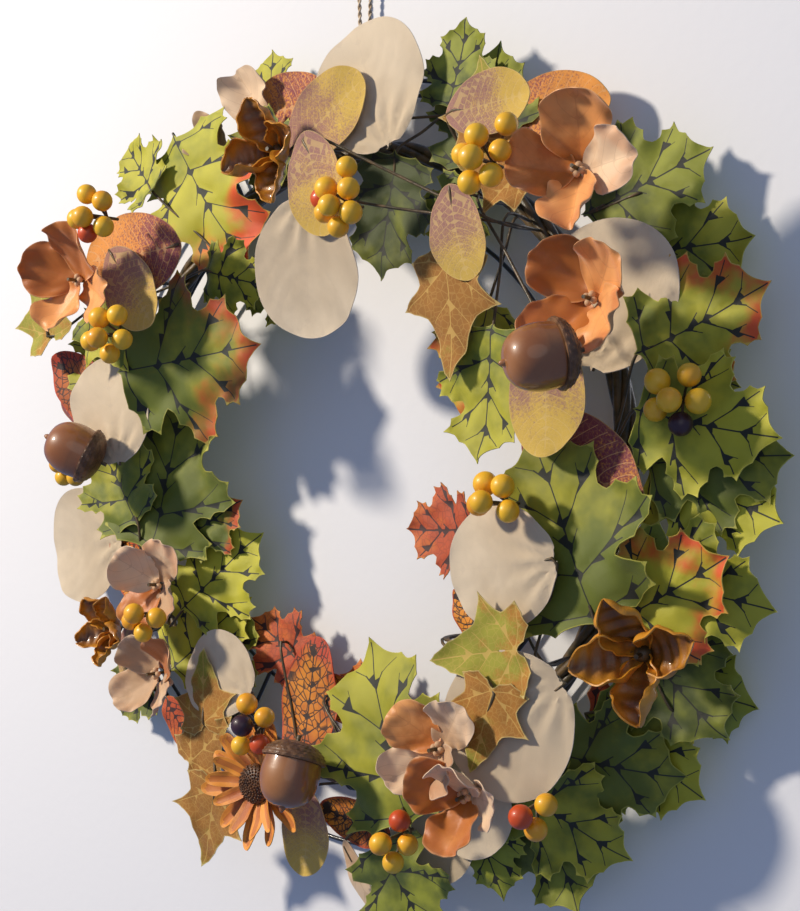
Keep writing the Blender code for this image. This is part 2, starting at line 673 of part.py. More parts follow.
def build_frame(stack, black):
    """Four concentric rings with cross wires welded on their fronts."""
    radii = (INNER_RING_RADIUS, MIDDLE_RING_RADIUS, OUTER_RING_RADIUS - OUTER_RING_GAP, OUTER_RING_RADIUS)
    meshes = []
    for number in range(CROSS_WIRE_COUNT):
        clock = 360 * (number + 0.5) / CROSS_WIRE_COUNT
        lift = 2 * WIRE_RADIUS - WELD_DEPTH
        ends = [on_ring(clock, radii[0] - 2 * WIRE_RADIUS, lift), on_ring(clock, radii[-1] + 2 * WIRE_RADIUS, lift)]
        meshes.append(tube(ends, WIRE_RADIUS, WIRE_SIDES))
    rings = []
    for radius in radii:
        route = [on_ring(clock, radius) for clock in range(0, 360, 12)]
        rings.append(tube(route, WIRE_RADIUS, WIRE_SIDES, closed=True))
    frame = unite("wire_frame", rings[:1] + meshes + rings[1:], black)
    for mesh in rings + meshes:
        spread = samples(*mesh)
        stack.lay(*stack.cells(spread), -spread[:, 1], leafy=False)
    return frame


def build_garland(stack, brown):
    route = [on_ring(clock, MIDDLE_RING_RADIUS, garland_lift()) for clock in range(0, 360, 12)]
    mesh = tube(route, GARLAND_RADIUS, 8, closed=True)
    spread = samples(*mesh)
    stack.lay(*stack.cells(spread), -spread[:, 1], leafy=False)
    return unite("garland_stem", [mesh], brown, smooth=True)


def build_bindings(stack, black):
    """Wire loops that tie the garland stem to the middle ring, half way between cross wires."""
    reach = GARLAND_RADIUS + TOUCH_GAP + BINDING_WIRE_RADIUS
    rear = reach - (WIRE_RADIUS + TOUCH_GAP + BINDING_WIRE_RADIUS)
    for number in range(BINDING_COUNT):
        clock = 360 * (number + 0.5) / BINDING_COUNT
        route = []
        for step in range(16):
            turn = 2 * math.pi * step / 16
            middle = garland_lift() if math.cos(turn) > 0 else rear
            out = 1.02 * reach * math.sin(turn)
            route.append(on_ring(clock, MIDDLE_RING_RADIUS + out, middle + 1.02 * reach * math.cos(turn)))
        mesh = tube(route, BINDING_WIRE_RADIUS, 4, closed=True)
        spread = samples(*mesh)
        stack.lay(*stack.cells(spread), -spread[:, 1])
        unite(f"binding_wire_{number + 1}", [mesh], black)


def smooth_route(route, count):
    """Points read at even steps from a smooth curve through the route's own points."""
    ends = [2 * route[0] - route[1], *route, 2 * route[-1] - route[-2]]
    fine = []
    for a, b, c, d in zip(ends, ends[1:], ends[2:], ends[3:]):
        for step in range(24):
            t = step / 24
            fine.append(0.5 * (2 * b + (c - a) * t + (2 * a - 5 * b + 4 * c - d) * t * t
                               + (3 * b - 3 * c + d - a) * t * t * t))
    fine.append(route[-1])
    reached = [0.0]
    for near, far in zip(fine, fine[1:]):
        reached.append(reached[-1] + (far - near).length)
    places = np.linspace(0.0, reached[-1], count)
    return [Vector(np.interp(place, reached, [point[axis] for point in fine]) for axis in range(3))
            for place in places]


def hitch_top():
    return -HANG_DROP + OUTER_RING_RADIUS + WIRE_RADIUS + HITCH_CLEARANCE + HITCH_WALL


def build_hanger(tan):
    """The twine loop on its hook, and the hitch that holds it round the outermost ring."""
    radius = 0.5 * TWINE_DIAMETER
    foot = hitch_top() + TOUCH_GAP
    half_foot = 0.5 * HITCH_WIDTH - 0.0001
    route = [
        (-half_foot, foot), (-half_foot, foot + 0.008), (-0.0033, -0.045), (-0.0042, -0.020),
        (-LOOP_HALF_WIDTH, -0.0065), (-0.0033, -0.0005), (0.0, radius), (0.0033, -0.0005),
        (LOOP_HALF_WIDTH, -0.0065), (0.0042, -0.020), (0.0033, -0.045), (half_foot, foot + 0.008),
        (half_foot, foot),
    ]
    points = smooth_route([Vector((x, 0.0, z)) for x, z in route], 30)
    curve = bpy.data.curves.new("hanger_twine", "CURVE")
    curve.dimensions = "3D"
    curve.bevel_depth = radius
    curve.bevel_resolution = 2
    curve.use_fill_caps = True
    spline = curve.splines.new("POLY")
    spline.points.add(len(points) - 1)
    for knot, point in zip(spline.points, points):
        knot.co = (*point, 1.0)
    curve.materials.append(tan)
    twine = bpy.data.objects.new("hanger_twine", curve)
    bpy.context.scene.collection.objects.link(twine)

    axis = Vector((0.0, 0.0, OUTER_RING_RADIUS - HANG_DROP))
    bore = WIRE_RADIUS + HITCH_CLEARANCE
    profile = [(bore, -0.5), (bore + HITCH_WALL, -0.5), (bore + HITCH_WALL, 0.5), (bore, 0.5)]
    points, faces = [], []
    sides = 16
    for side in range(sides):
        angle = 2 * math.pi * side / sides
        for reach, end in profile:
            offset = Vector((end * HITCH_WIDTH, reach * math.sin(angle), reach * math.cos(angle)))
            points.append(axis + offset)
    for side in range(sides):
        here, there = 4 * side, 4 * ((side + 1) % sides)
        for corner in range(4):
            turn = (corner + 1) % 4
            faces.append((here + corner, here + turn, there + turn, there + corner))
    hitch = mesh_object("hanger_hitch", points, faces, tan)
    hinge = bpy.data.objects.new("hanger_swing_axis", None)
    hinge.location = axis
    bpy.context.scene.collection.objects.link(hinge)
    bpy.context.view_layer.update()
    for piece in (twine, hitch):
        piece.parent = hinge
        piece.matrix_parent_inverse = hinge.matrix_world.inverted()


def main():
    clear_scene()
    stack = Stack()
    black = finish("black_wire", WIRE_BLACK, 0.45, 0.8)
    brown = finish("stem_tape", STEM_BROWN, 0.85)
    tan = finish("jute_twine", TWINE_TAN, 0.95)
    build_hanger(tan)
    build_frame(stack, black)
    build_garland(stack, brown)
    build_bindings(stack, black)
    for name, (hour, colour, leaves) in LEAF_PICKS.items():
        lay_pick(stack, name, HOUR * hour, finish(name + "_cloth", colour, 0.75), leaf_members(leaves))
    for name, (colour, florets) in FLORET_PICKS.items():
        members = [whorl("petal", HOUR * hour, lane, LEAF_SIZES["petal"][size], turn, FLORET_PETALS, FLORET_RISE)
                   for hour, lane, size, turn in florets]
        lay_pick(stack, name, None, finish(name + "_cloth", colour, 0.7), [joined(members)])
    gold = finish("dried_pod", GOLD, 0.6)
    for name, (hour, lane, length, turn, count) in POD_PICKS.items():
        member = whorl("husk", HOUR * hour, lane, length, turn, count, HUSK_RISE)
        lay_pick(stack, name, None, gold, [member])
    lay_daisy(stack, finish("daisy_cloth", AMBER, 0.7), finish("daisy_seed", CAP_BROWN, 0.9))
    yellow = finish("berry_lacquer", BERRY_YELLOW, 0.35)
    for name, clusters in BERRY_PICKS.items():
        lay_pick(stack, name, None, yellow, [joined([cluster(*place) for place in clusters])])
    cap_finish = finish("acorn_cap", CAP_BROWN, 0.8)
    nut_finish = finish("acorn_nut", NUT_BROWN, 0.2)
    for name, (hour, lane, tip_hour, rise) in ACORN_PICKS.items():
        lay_acorn(stack, name, hour, lane, tip_hour, rise, cap_finish, nut_finish)


main()
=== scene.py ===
"""Harvest door wreath: cloth leaves, blooms, berries, acorns and husks on a ring frame, hung by twine."""

import math

import bpy
import numpy as np
from mathutils import Matrix, Vector
from mathutils.bvhtree import BVHTree
from mathutils.geometry import delaunay_2d_cdt


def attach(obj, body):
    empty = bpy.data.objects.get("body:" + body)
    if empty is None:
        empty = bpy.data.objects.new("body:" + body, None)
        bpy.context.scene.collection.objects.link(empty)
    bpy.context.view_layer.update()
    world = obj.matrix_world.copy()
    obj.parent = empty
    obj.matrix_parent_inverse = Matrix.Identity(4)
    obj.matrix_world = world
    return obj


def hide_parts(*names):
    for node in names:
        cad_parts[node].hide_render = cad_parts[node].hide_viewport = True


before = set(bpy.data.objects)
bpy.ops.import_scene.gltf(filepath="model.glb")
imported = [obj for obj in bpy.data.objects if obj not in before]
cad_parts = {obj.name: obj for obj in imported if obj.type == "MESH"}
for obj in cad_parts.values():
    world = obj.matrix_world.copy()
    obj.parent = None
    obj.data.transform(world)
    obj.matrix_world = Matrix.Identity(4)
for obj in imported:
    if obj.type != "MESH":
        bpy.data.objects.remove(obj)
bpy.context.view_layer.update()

# Sizes of the wreath, in metres. The hook point is the origin, the front is -Y.
HANG_DROP = 0.285
INNER_RING_RADIUS = 0.140
STEM_RING_RADIUS = 0.172
OUTER_RING_GAP = 0.008
OUTER_RING_RADIUS = 0.212
WIRE_RADIUS = 0.0012
WELD_DEPTH = 0.0006
GARLAND_RADIUS = 0.006
GARLAND_LIFT = 2 * WIRE_RADIUS - WELD_DEPTH + WIRE_RADIUS + 0.0003 + GARLAND_RADIUS
SPOKE_OVERRUN = 0.0024
TWINE_DIAMETER = 0.0024
TWINE_HALF_GAP = 0.0029
HITCH_WALL = 0.0026
HITCH_CLEARANCE = 0.0005
HITCH_TURNS = 2.4
HITCH_RADIUS = 0.00315
HITCH_REACH = 0.0046
# A pick's own post ends within this of the frame's plane, on the garland stem.
POST_END_HEIGHT = 0.01585
DOME_LEAN = 12.0
DOME_REACH = 0.070
PETAL_ROOT = 0.0022
PETAL_ROLL = 7.0
CLOTH = 0.00045
BERRY_RADIUS = 0.0057
ACORN_RADIUS = 0.0155
ACORN_LENGTH = 0.027
ACORN_CAP_HEIGHT = 0.010
ACORN_STALK = 0.003
ACORN_CAP_LIP = 0.001
EYE_RADIUS = 0.011
SEEDS = 150
# Turn from one seed of the daisy's eye to the next, in radians, which packs them in spirals.
SEED_TURN = 2.39996

# An hour is a place on the wreath's face, read as on a clock, or the way that a tip points.
HOUR = 30.0
# Lanes that picks are seated in, from the hole outward.
RIM = INNER_RING_RADIUS - 0.022
INNER = INNER_RING_RADIUS
MIDDLE = STEM_RING_RADIUS
OUTER = OUTER_RING_RADIUS - 0.014
EDGE = OUTER_RING_RADIUS + 0.010
# Stock lengths that each kind of leaf and petal is cut in.
LEAF_SIZES = {
    "oak": {"small": 0.048, "medium": 0.070, "large": 0.100},
    "ivy": {"small": 0.044, "medium": 0.052, "large": 0.058},
    "round": {"small": 0.052, "medium": 0.064, "large": 0.074},
    "oval": {"small": 0.048, "medium": 0.055, "large": 0.062},
    "amber": {"small": 0.046, "medium": 0.054, "large": 0.076},
    "plum": {"small": 0.056, "medium": 0.066, "large": 0.076},
    "petal": {"small": 0.028, "medium": 0.034},
    "narrow": {"small": 0.044},
}

# Leaves of each pick: kind, hour and lane of the foot, hour that the tip points to, size, finish.
# A finish that ends in + is blushed red towards the tip.
LEAF_PICKS = {
    "oak_spray_top": (
        ("oak", 1, MIDDLE, 12.25, "medium", "dark"), ("oak", 1, MIDDLE, 7, "small", "green"),
        ("oak", 11.5, OUTER, 11.75, "small", "green"), ("oak", 12.75, OUTER, 12.25, "small", "dark"),
        ("oak", 12.5, MIDDLE, 6.5, "medium", "dark"),
    ),
    "plum_spray_top": (
        ("plum", 12, OUTER, 9, "medium", "plum"), ("petal", 11.5, OUTER, 11.25, "medium", "beige"),
        ("petal", 11.25, OUTER, 9.75, "small", "beige"), ("oak", 11.75, MIDDLE, 9.5, "small", "green"),
    ),
    "oak_spray_upper_left": (
        ("oak", 11, INNER, 5, "small", "green"), ("oak", 11, EDGE, 5, "large", "green+"),
        ("oak", 10.75, OUTER, 10.5, "small", "green"),
    ),
    "oak_spray_upper_right": (
        ("plum", 1, OUTER, 2.75, "medium", "plum"), ("oak", 2, OUTER, 2.75, "medium", "green"),
        ("oak", 2.25, OUTER, 3, "small", "dark"), ("oak", 2.5, OUTER, 3.5, "small", "green"),
        ("oak", 1.75, OUTER, 2.25, "medium", "dark"),
    ),
    "cream_spray_right": (
        ("round", 2.5, MIDDLE, 12.5, "large", "linen"), ("amber", 2.25, INNER, 2, "small", "amber"),
    ),
    "oak_spray_right": (
        ("oak", 2.5, OUTER, 2.25, "medium", "green+"), ("oak", 3, OUTER, 3.75, "medium", "green"),
        ("oak", 3, OUTER, 2.75, "medium", "green"), ("oak", 2.75, OUTER, 3.5, "medium", "green"),
    ),
    "oak_spray_lower_right": (
        ("oak", 4, OUTER, 3.25, "medium", "dark"), ("oak", 4.25, OUTER, 3, "small", "red"),
        ("oak", 4.25, OUTER, 4, "medium", "green"), ("oak", 3.75, OUTER, 4.75, "medium", "dark"),
    ),
    "oak_spray_bottom_right": (
        ("oak", 4.75, OUTER, 5, "medium", "dark"), ("oak", 4.5, OUTER, 3.25, "medium", "green"),
        ("oak", 4.75, OUTER, 4, "medium", "green"), ("oak", 5, OUTER, 5.5, "small", "dark"),
    ),
    "plum_spray_right": (
        ("amber", 2.75, INNER, 5.75, "small", "amber"), ("plum", 2.75, INNER, 4, "large", "plum"),
    ),
    "oak_spray_right_big": (
        ("oak", 3.5, OUTER, 3.25, "medium", "green"), ("oak", 3.75, OUTER, 2, "medium", "green+"),
        ("oak", 3.75, OUTER, 11.25, "large", "green"),
    ),
    "cream_spray_inner_right": (
        ("oak", 3.5, RIM, 8.75, "small", "red"), ("round", 3.5, MIDDLE, 8.75, "medium", "linen"),
    ),
    "oak_spray_inner_right": (
        ("oak", 1.75, INNER, 6.75, "medium", "green+"), ("oak", 2, INNER, 6.25, "medium", "green"),
    ),
    "cream_spray_bottom": (
        ("round", 5, OUTER, 7.75, "small", "linen"), ("amber", 5.5, OUTER, 9.25, "small", "amber"),
        ("round", 5, MIDDLE, 4.75, "small", "linen"), ("narrow", 5.75, OUTER, 5.5, "small", "beige"),
        ("oval", 6, MIDDLE, 6, "small", "mauve"),
    ),
    "oak_spray_bottom": (
        ("oak", 5.5, INNER, 9.75, "small", "red"), ("amber", 5.75, INNER, 10, "small", "amber"),
        ("oak", 5.5, OUTER, 5, "medium", "dark"), ("oak", 5.25, OUTER, 11.25, "large", "green"),
    ),
    "amber_spray_bottom": (
        ("oak", 6.5, RIM, 10.25, "small", "red"), ("amber", 6.25, MIDDLE, 12, "large", "amber+"),
    ),
    "oak_spray_lower_left": (
        ("oak", 7.25, MIDDLE, 1, "medium", "green"), ("oak", 7.5, MIDDLE, 1.5, "medium", "green"),
        ("oak", 7.75, INNER, 1.5, "medium", "green"),
    ),
    "amber_spray_lower_left": (
        ("oak", 7.75, OUTER, 7.25, "small", "green"), ("amber", 7.5, OUTER, 4.75, "small", "red"),
        ("oval", 8, OUTER, 5.5, "small", "mauve"),
    ),
    "ivy_spray_bottom_left": (
        ("round", 6.75, INNER, 9.75, "small", "linen"), ("ivy", 7, OUTER, 1.75, "small", "ivy"),
        ("ivy", 7, MIDDLE, 11.75, "small", "ivy"), ("ivy", 6.75, OUTER, 6.5, "medium", "ivy"),
    ),
    "cream_spray_left": (
        ("amber", 8, MIDDLE, 11, "medium", "amber+"), ("round", 8.5, MIDDLE, 8.75, "large", "linen"),
    ),
    "oak_spray_left_inner": (
        ("oak", 8.25, RIM, 1.75, "small", "green+"), ("oak", 8.25, INNER, 12.5, "large", "green"),
        ("oak", 8.5, INNER, 11, "medium", "green"),
    ),
    "amber_spray_left": (
        ("plum", 9.25, MIDDLE, 10.75, "small", "plum"), ("oak", 9.5, INNER, 11, "medium", "green"),
        ("amber", 9.25, INNER, 10.25, "large", "amber+"), ("round", 9, INNER, 11.75, "medium", "linen"),
    ),
    "oak_spray_left_upper": (
        ("oak", 10.75, INNER, 3.5, "small", "green"), ("oak", 9.75, INNER, 2.75, "large", "green+"),
        ("ivy", 10, MIDDLE, 4.5, "small", "green"),
    ),
    "ivy_spray_left": (
        ("ivy", 9.75, OUTER, 11.25, "medium", "ivy"), ("plum", 11, INNER, 8.75, "large", "plum"),
        ("oval", 10.5, MIDDLE, 4.75, "medium", "mauve"),
    ),
    "ivy_spray_right": (
        ("ivy", 1.5, OUTER, 9.5, "small", "ivy"), ("ivy", 1.25, OUTER, 11.75, "small", "ivy"),
        ("ivy", 1.5, INNER, 6, "large", "ivy"),
    ),
    "ivy_spray_lower_right": (
        ("amber", 4.5, INNER, 10.5, "small", "amber"), ("round", 4, OUTER, 7.75, "large", "linen"),
        ("ivy", 4, MIDDLE, 8.75, "medium", "ivy"), ("ivy", 4.25, MIDDLE, 6.5, "small", "ivy"),
    ),
    "oval_spray_right": (
        ("oval", 1, OUTER, 2.75, "small", "mauve"), ("oval", 1.25, MIDDLE, 5.75, "small", "mauve"),
        ("oval", 2.25, MIDDLE, 5.75, "large", "mauve"),
    ),
    "cream_spray_top": (
        ("round", 12.5, MIDDLE, 11.25, "large", "linen"), ("oval", 11.75, MIDDLE, 2, "large", "mauve"),
    ),
    "cream_spray_inner_top": (
        ("round", 12.25, INNER, 6.25, "large", "linen"), ("oval", 12.25, MIDDLE, 5.5, "medium", "mauve"),
    ),
}
# Blooms: hour and lane of the centre, petal size, turn.
BLOOM_PICKS = {
    "hydrangea_right": ("peach", ((2.25, OUTER, "medium", 20), (1.75, EDGE, "medium", 50))),
    "hydrangea_upper_left": ("peach", ((10.25, MIDDLE, "medium", 10),)),
    "hydrangea_lower_left": ("beige", ((7.5, MIDDLE, "small", 0), (8, INNER, "small", 30))),
    "hydrangea_bottom": ("beige", ((4.75, OUTER, "small", 45), (4.75, MIDDLE, "small", 10))),
}
BLOOM_RISE = 24.0
# Dried husks: hour and lane of the centre, husk length, turn, count.
HUSK_PICKS = {
    "pod_upper_left": (11.75, MIDDLE, 0.028, 15, 4),
    "pod_right": (3.75, EDGE, 0.030, 40, 4),
    "pod_left": (8, OUTER, 0.022, 0, 5),
}
HUSK_RISE = 30.0
# Berries: hour and lane of the centre, count; then which berries are red and which is dark.
BERRY_PICKS = {
    "berries_top": (((0.75, INNER, 8),), (7,), ()),
    "berries_upper_right": (((1.5, OUTER, 7),), (), ()),
    "berries_right": (((2.75, EDGE, 6),), (), (5,)),
    "berries_inner_right": (((3.25, INNER, 5),), (), ()),
    "berries_bottom_right": (((4.5, EDGE, 3),), (0,), ()),
    "berries_bottom": (((5.25, OUTER, 4),), (3,), ()),
    "berries_lower_middle": (((6.25, INNER, 5),), (2,), (0,)),
    "berries_lower_left": (((7.75, INNER, 4),), (), ()),
    "berries_far_left": (((9, EDGE, 4),), (), ()),
    "berries_left": (((10.25, RIM, 6), (10.75, MIDDLE, 6)), (9,), ()),
}
BERRY_RING_RADIUS = 0.0106
BERRY_OUTER_RADIUS = 0.0178
BERRY_HEIGHTS = (0.019, 0.011, 0.005)
# Acorns: hour and lane of the cap end, hour that the nut points to, rise.
ACORN_PICKS = {"right": (2.5, OUTER, 8.5, 45), "left": (9, INNER, 10, 30), "bottom": (5.75, INNER, 6, 15)}
# The daisy: hour and lane, length of a ray, count of rays, rise.
DAISY = (6.25, MIDDLE, 0.034, 11, 14.0)

# ---------------------------------------------------------------- camera and room


def aim(thing, place, target):
    thing.location = place
    thing.rotation_euler = (Vector(target) - Vector(place)).to_track_quat("-Z", "Y").to_euler()


def link(name, data):
    made = bpy.data.objects.new(name, data)
    bpy.context.scene.collection.objects.link(made)
    return made


def make_camera():
    turn, distance = math.radians(39.0), 0.90
    lens = bpy.data.cameras.new("camera")
    lens.lens, lens.sensor_width = 63.8, 36.0
    lens.shift_x, lens.shift_y = 0.0384, 0.0104
    camera = link("camera", lens)
    middle = Vector((0.0, 0.0, -HANG_DROP))
    away = Vector((math.sin(turn), -math.cos(turn), 0.0))
    aim(camera, middle + distance * away, middle)
    bpy.context.scene.camera = camera


def lamp(name, place, target, size, power, colour):
    light = bpy.data.lights.new(name, "AREA")
    light.shape = "DISK"
    light.size, light.energy, light.color = size, power, colour
    aim(link(name, light), Vector(place), Vector(target))


def make_room():
    """A pale wall just behind the ring and a pale floor, which show only from their front sides."""
    bpy.context.scene.view_settings.view_transform = "Standard"
    plaster = Shading("pale_plaster")
    ripple = plaster.add("ShaderNodeTexNoise", Scale=160.0, Detail=4.0)
    plaster.wire(plaster.add("ShaderNodeTexCoord").outputs["Object"], ripple.inputs["Vector"])
    bump = plaster.add("ShaderNodeBump", Strength=0.12, Distance=0.001)
    plaster.wire(ripple.outputs[0], bump.inputs["Height"])
    plaster.set(Base_Color=(0.80, 0.80, 0.81, 1.0), Roughness=0.85)
    plaster.wire(bump.outputs[0], plaster.shader.inputs["Normal"])
    clear = plaster.add("ShaderNodeBsdfTransparent")
    choose = plaster.add("ShaderNodeMixShader")
    plaster.wire(plaster.add("ShaderNodeNewGeometry").outputs["Backfacing"], choose.inputs[0])
    plaster.wire(plaster.shader.outputs[0], choose.inputs[1])
    plaster.wire(clear.outputs[0], choose.inputs[2])
    plaster.wire(choose.outputs[0], plaster.end.inputs["Surface"])
    side, front, wall, floor, top = 4, -5, 0.0052, -1.3, 3
    for name, corners in (
        ("wall", ((-side, wall, floor), (side, wall, floor), (side, wall, top), (-side, wall, top))),
        ("floor", ((-side, front, floor), (side, front, floor), (side, wall, floor), (-side, wall, floor))),
    ):
        mesh = bpy.data.meshes.new(name)
        mesh.from_pydata(corners, [], [(0, 1, 2, 3)])
        mesh.materials.append(plaster.material)
        plane = link(name, mesh)
        plane.visible_diffuse = plane.visible_glossy = plane.visible_shadow = False
    world = bpy.data.worlds.new("soft_sky")
    world.use_nodes = True
    sky = world.node_tree.nodes["Background"].inputs
    sky["Color"].default_value = (0.42, 0.58, 1.0, 1.0)
    sky["Strength"].default_value = 0.34
    bpy.context.scene.world = world
    middle = (0.0, 0.0, -HANG_DROP)
    lamp("window_key", (-1.25, -1.55, 0.75), middle, 0.22, 60.0, (1.0, 0.90, 0.76))
    lamp("room_fill", (1.2, -1.6, 0.3), middle, 1.6, 3.0, (1.0, 0.95, 0.88))
    lamp("rear_fill", (0.4, 1.8, 0.4), middle, 1.4, 8.0, (1.0, 0.97, 0.92))


# ---------------------------------------------------------------- materials


class Shading:
    """A material or a node group under construction."""

    def __init__(self, name, group=False):
        if group:
            self.tree = bpy.data.node_groups.new(name, "ShaderNodeTree")
            self.entry = self.tree.nodes.new("NodeGroupInput")
            self.exit = self.tree.nodes.new("NodeGroupOutput")
        else:
            self.material = bpy.data.materials.new(name)
            self.material.use_nodes = True
            self.tree = self.material.node_tree
            self.shader = self.tree.nodes["Principled BSDF"]
            self.end = self.tree.nodes["Material Output"]

    def add(self, kind, settings=None, **values):
        node = self.tree.nodes.new(kind)
        for name, value in (settings or {}).items():
            setattr(node, name, value)
        for name, value in values.items():
            node.inputs[name.replace("_", " ")].default_value = value
        return node

    def wire(self, source, target):
        self.tree.links.new(source, target)

    def feed(self, value, socket):
        if isinstance(value, bpy.types.NodeSocket):
            self.wire(value, socket)
        else:
            socket.default_value = value

    def set(self, **values):
        for name, value in values.items():
            self.shader.inputs[name.replace("_", " ")].default_value = value

    def math(self, operation, a, b=0.0, c=0.0, clamp=False):
        node = self.add("ShaderNodeMath", {"operation": operation, "use_clamp": clamp})
        for socket, value in zip(node.inputs, (a, b, c)):
            self.feed(value, socket)
        return node.outputs[0]

    def step(self, value, low, high):
        """0 below low, 1 above high, smooth between."""
        node = self.add("ShaderNodeMapRange", {"interpolation_type": "SMOOTHSTEP"})
        for name, source in (("Value", value), ("From Min", low), ("From Max", high)):
            self.feed(source, node.inputs[name])
        return node.outputs[0]

    def mix(self, share, a, b, blend="MIX"):
        node = self.add("ShaderNodeMix", {"data_type": "RGBA", "blend_type": blend})
        for socket, value in ((node.inputs[0], share), (node.inputs[6], a), (node.inputs[7], b)):
            self.feed(value, socket)
        return node.outputs[2]

    def trait(self, name, output="Fac"):
        return self.add("ShaderNodeAttribute", {"attribute_name": name}).outputs[output]

    def sockets(self, inputs, outputs):
        for name, value in inputs.items():
            colour = isinstance(value, tuple)
            kind = "NodeSocketColor" if colour else "NodeSocketFloat"
            made = self.tree.interface.new_socket(name, in_out="INPUT", socket_type=kind)
            made.default_value = value
        for name, kind in outputs.items():
            self.tree.interface.new_socket(name, in_out="OUTPUT", socket_type=kind)


def make_weave_group():
    """Fine over-and-under threads, from flat cloth coordinates in centimetres."""
    group = Shading("cloth_weave", group=True)
    group.sockets({"Threads": 9.0, "Slub": 0.5}, {"Value": "NodeSocketFloat"})
    cloth = group.trait("flat", "Vector")
    waves = []
    for direction in ("X", "Y"):
        wave = group.add("ShaderNodeTexWave", {"bands_direction": direction}, Distortion=0.5, Detail=1.0)
        group.wire(cloth, wave.inputs["Vector"])
        group.wire(group.entry.outputs["Threads"], wave.inputs["Scale"])
        waves.append(wave.outputs["Fac"])
    slub = group.add("ShaderNodeTexNoise", Scale=90.0, Detail=2.0)
    group.wire(cloth, slub.inputs["Vector"])
    rough = group.math("MULTIPLY", slub.outputs[0], group.entry.outputs["Slub"])
    both = group.math("MULTIPLY", group.math("ADD", *waves), 0.5)
    group.wire(group.math("ADD", both, rough), group.exit.inputs["Value"])
    return group.tree


def make_print_group():
    """The printed colours of a leaf or petal, with its veins, net, speckle, blushed tip, and an edge band of own
    tint and painted highlight.
    """
    group = Shading("leaf_print", group=True)
    group.sockets(
        {
            "Base": (0.5, 0.5, 0.5, 1.0), "Second": (0.5, 0.5, 0.5, 1.0), "Blush": (0.5, 0.1, 0.0, 1.0),
            "Vein": (0.0, 0.0, 0.0, 1.0), "Rim": (0.8, 0.7, 0.4, 1.0), "Back": (0.5, 0.5, 0.5, 1.0),
            "Second Start": 0.3, "Second End": 0.9, "Tone Shift": 0.3, "Patches": 0.5, "Speckle": 0.0,
            "Vein Width": 0.4, "Vein Fade": 1.0, "Net Scale": 14.0, "Net": 0.0, "Rim Width": 0.4,
            "Rim Share": 0.6, "Back Share": 0.5, "Value Range": 0.3,
        },
        {"Color": "NodeSocketColor", "Height": "NodeSocketFloat"},
    )
    take = group.entry.outputs
    spot = group.trait("spot", "Vector")
    split = group.add("ShaderNodeSeparateXYZ")
    group.wire(spot, split.inputs[0])
    along = split.outputs["Y"]
    tone, vein, rim = group.trait("tone"), group.trait("vein"), group.trait("rim")
    cloud = group.add("ShaderNodeTexNoise", Scale=4.5, Detail=3.0)
    group.wire(spot, cloud.inputs["Vector"])
    fine = group.add("ShaderNodeTexNoise", Scale=55.0, Detail=2.0, Roughness=0.7)
    group.wire(spot, fine.inputs["Vector"])
    patches = group.math("MULTIPLY", group.math("SUBTRACT", cloud.outputs[0], 0.5), take["Patches"])
    shift = group.math("MULTIPLY", group.math("SUBTRACT", tone, 0.5), take["Tone Shift"])
    speck = group.math("MULTIPLY", group.math("SUBTRACT", fine.outputs[0], 0.5), take["Speckle"])
    place = group.math("ADD", group.math("ADD", along, group.math("MULTIPLY", patches, 2.0)), shift)
    place = group.math("ADD", place, group.math("MULTIPLY", speck, 2.0))
    ripeness = group.step(place, take["Second Start"], take["Second End"])
    colour = group.mix(ripeness, take["Base"], take["Second"])
    reach = group.math("ADD", group.math("ADD", along, group.math("ABSOLUTE", split.outputs["X"])), patches)
    red = group.math("MULTIPLY", group.step(reach, 0.72, 1.05), group.trait("blush"))
    colour = group.mix(red, colour, take["Blush"])
    level = group.math("SUBTRACT", tone, 0.5)
    level = group.math("MULTIPLY_ADD", level, take["Value Range"], 1.0)
    level = group.math("MULTIPLY_ADD", patches, 0.5, level)
    combine = group.add("ShaderNodeCombineColor")
    for socket in combine.inputs:
        group.wire(level, socket)
    colour = group.mix(1.0, colour, combine.outputs[0], "MULTIPLY")
    colour = group.mix(group.math("MULTIPLY", group.trait("back"), take["Back Share"]), colour, take["Back"])
    cells = group.add("ShaderNodeTexVoronoi", {"feature": "DISTANCE_TO_EDGE"})
    group.wire(spot, cells.inputs["Vector"])
    group.wire(take["Net Scale"], cells.inputs["Scale"])
    net = group.math("SUBTRACT", 1.0, group.step(cells.outputs["Distance"], 0.02, 0.09))
    net = group.math("MULTIPLY", net, take["Net"])
    faded_width = group.math("MULTIPLY", take["Vein Width"], 1.9)
    line = group.math("SUBTRACT", 1.0, group.step(vein, take["Vein Width"], faded_width))
    line = group.math("MULTIPLY", line, take["Vein Fade"])
    marks = group.math("MAXIMUM", line, net)
    colour = group.mix(marks, colour, take["Vein"])
    # Band along the cut edge, drawn towards the Rim colour: partly the edge's own tint, partly a painted
    # highlight for light caught by the edges.
    edge = group.math("SUBTRACT", 1.0, group.step(rim, 0.05, take["Rim Width"]))
    colour = group.mix(group.math("MULTIPLY", edge, take["Rim Share"]), colour, take["Rim"])
    group.wire(colour, group.exit.inputs["Color"])
    group.wire(group.math("MULTIPLY", marks, -1.0), group.exit.inputs["Height"])
    return group.tree


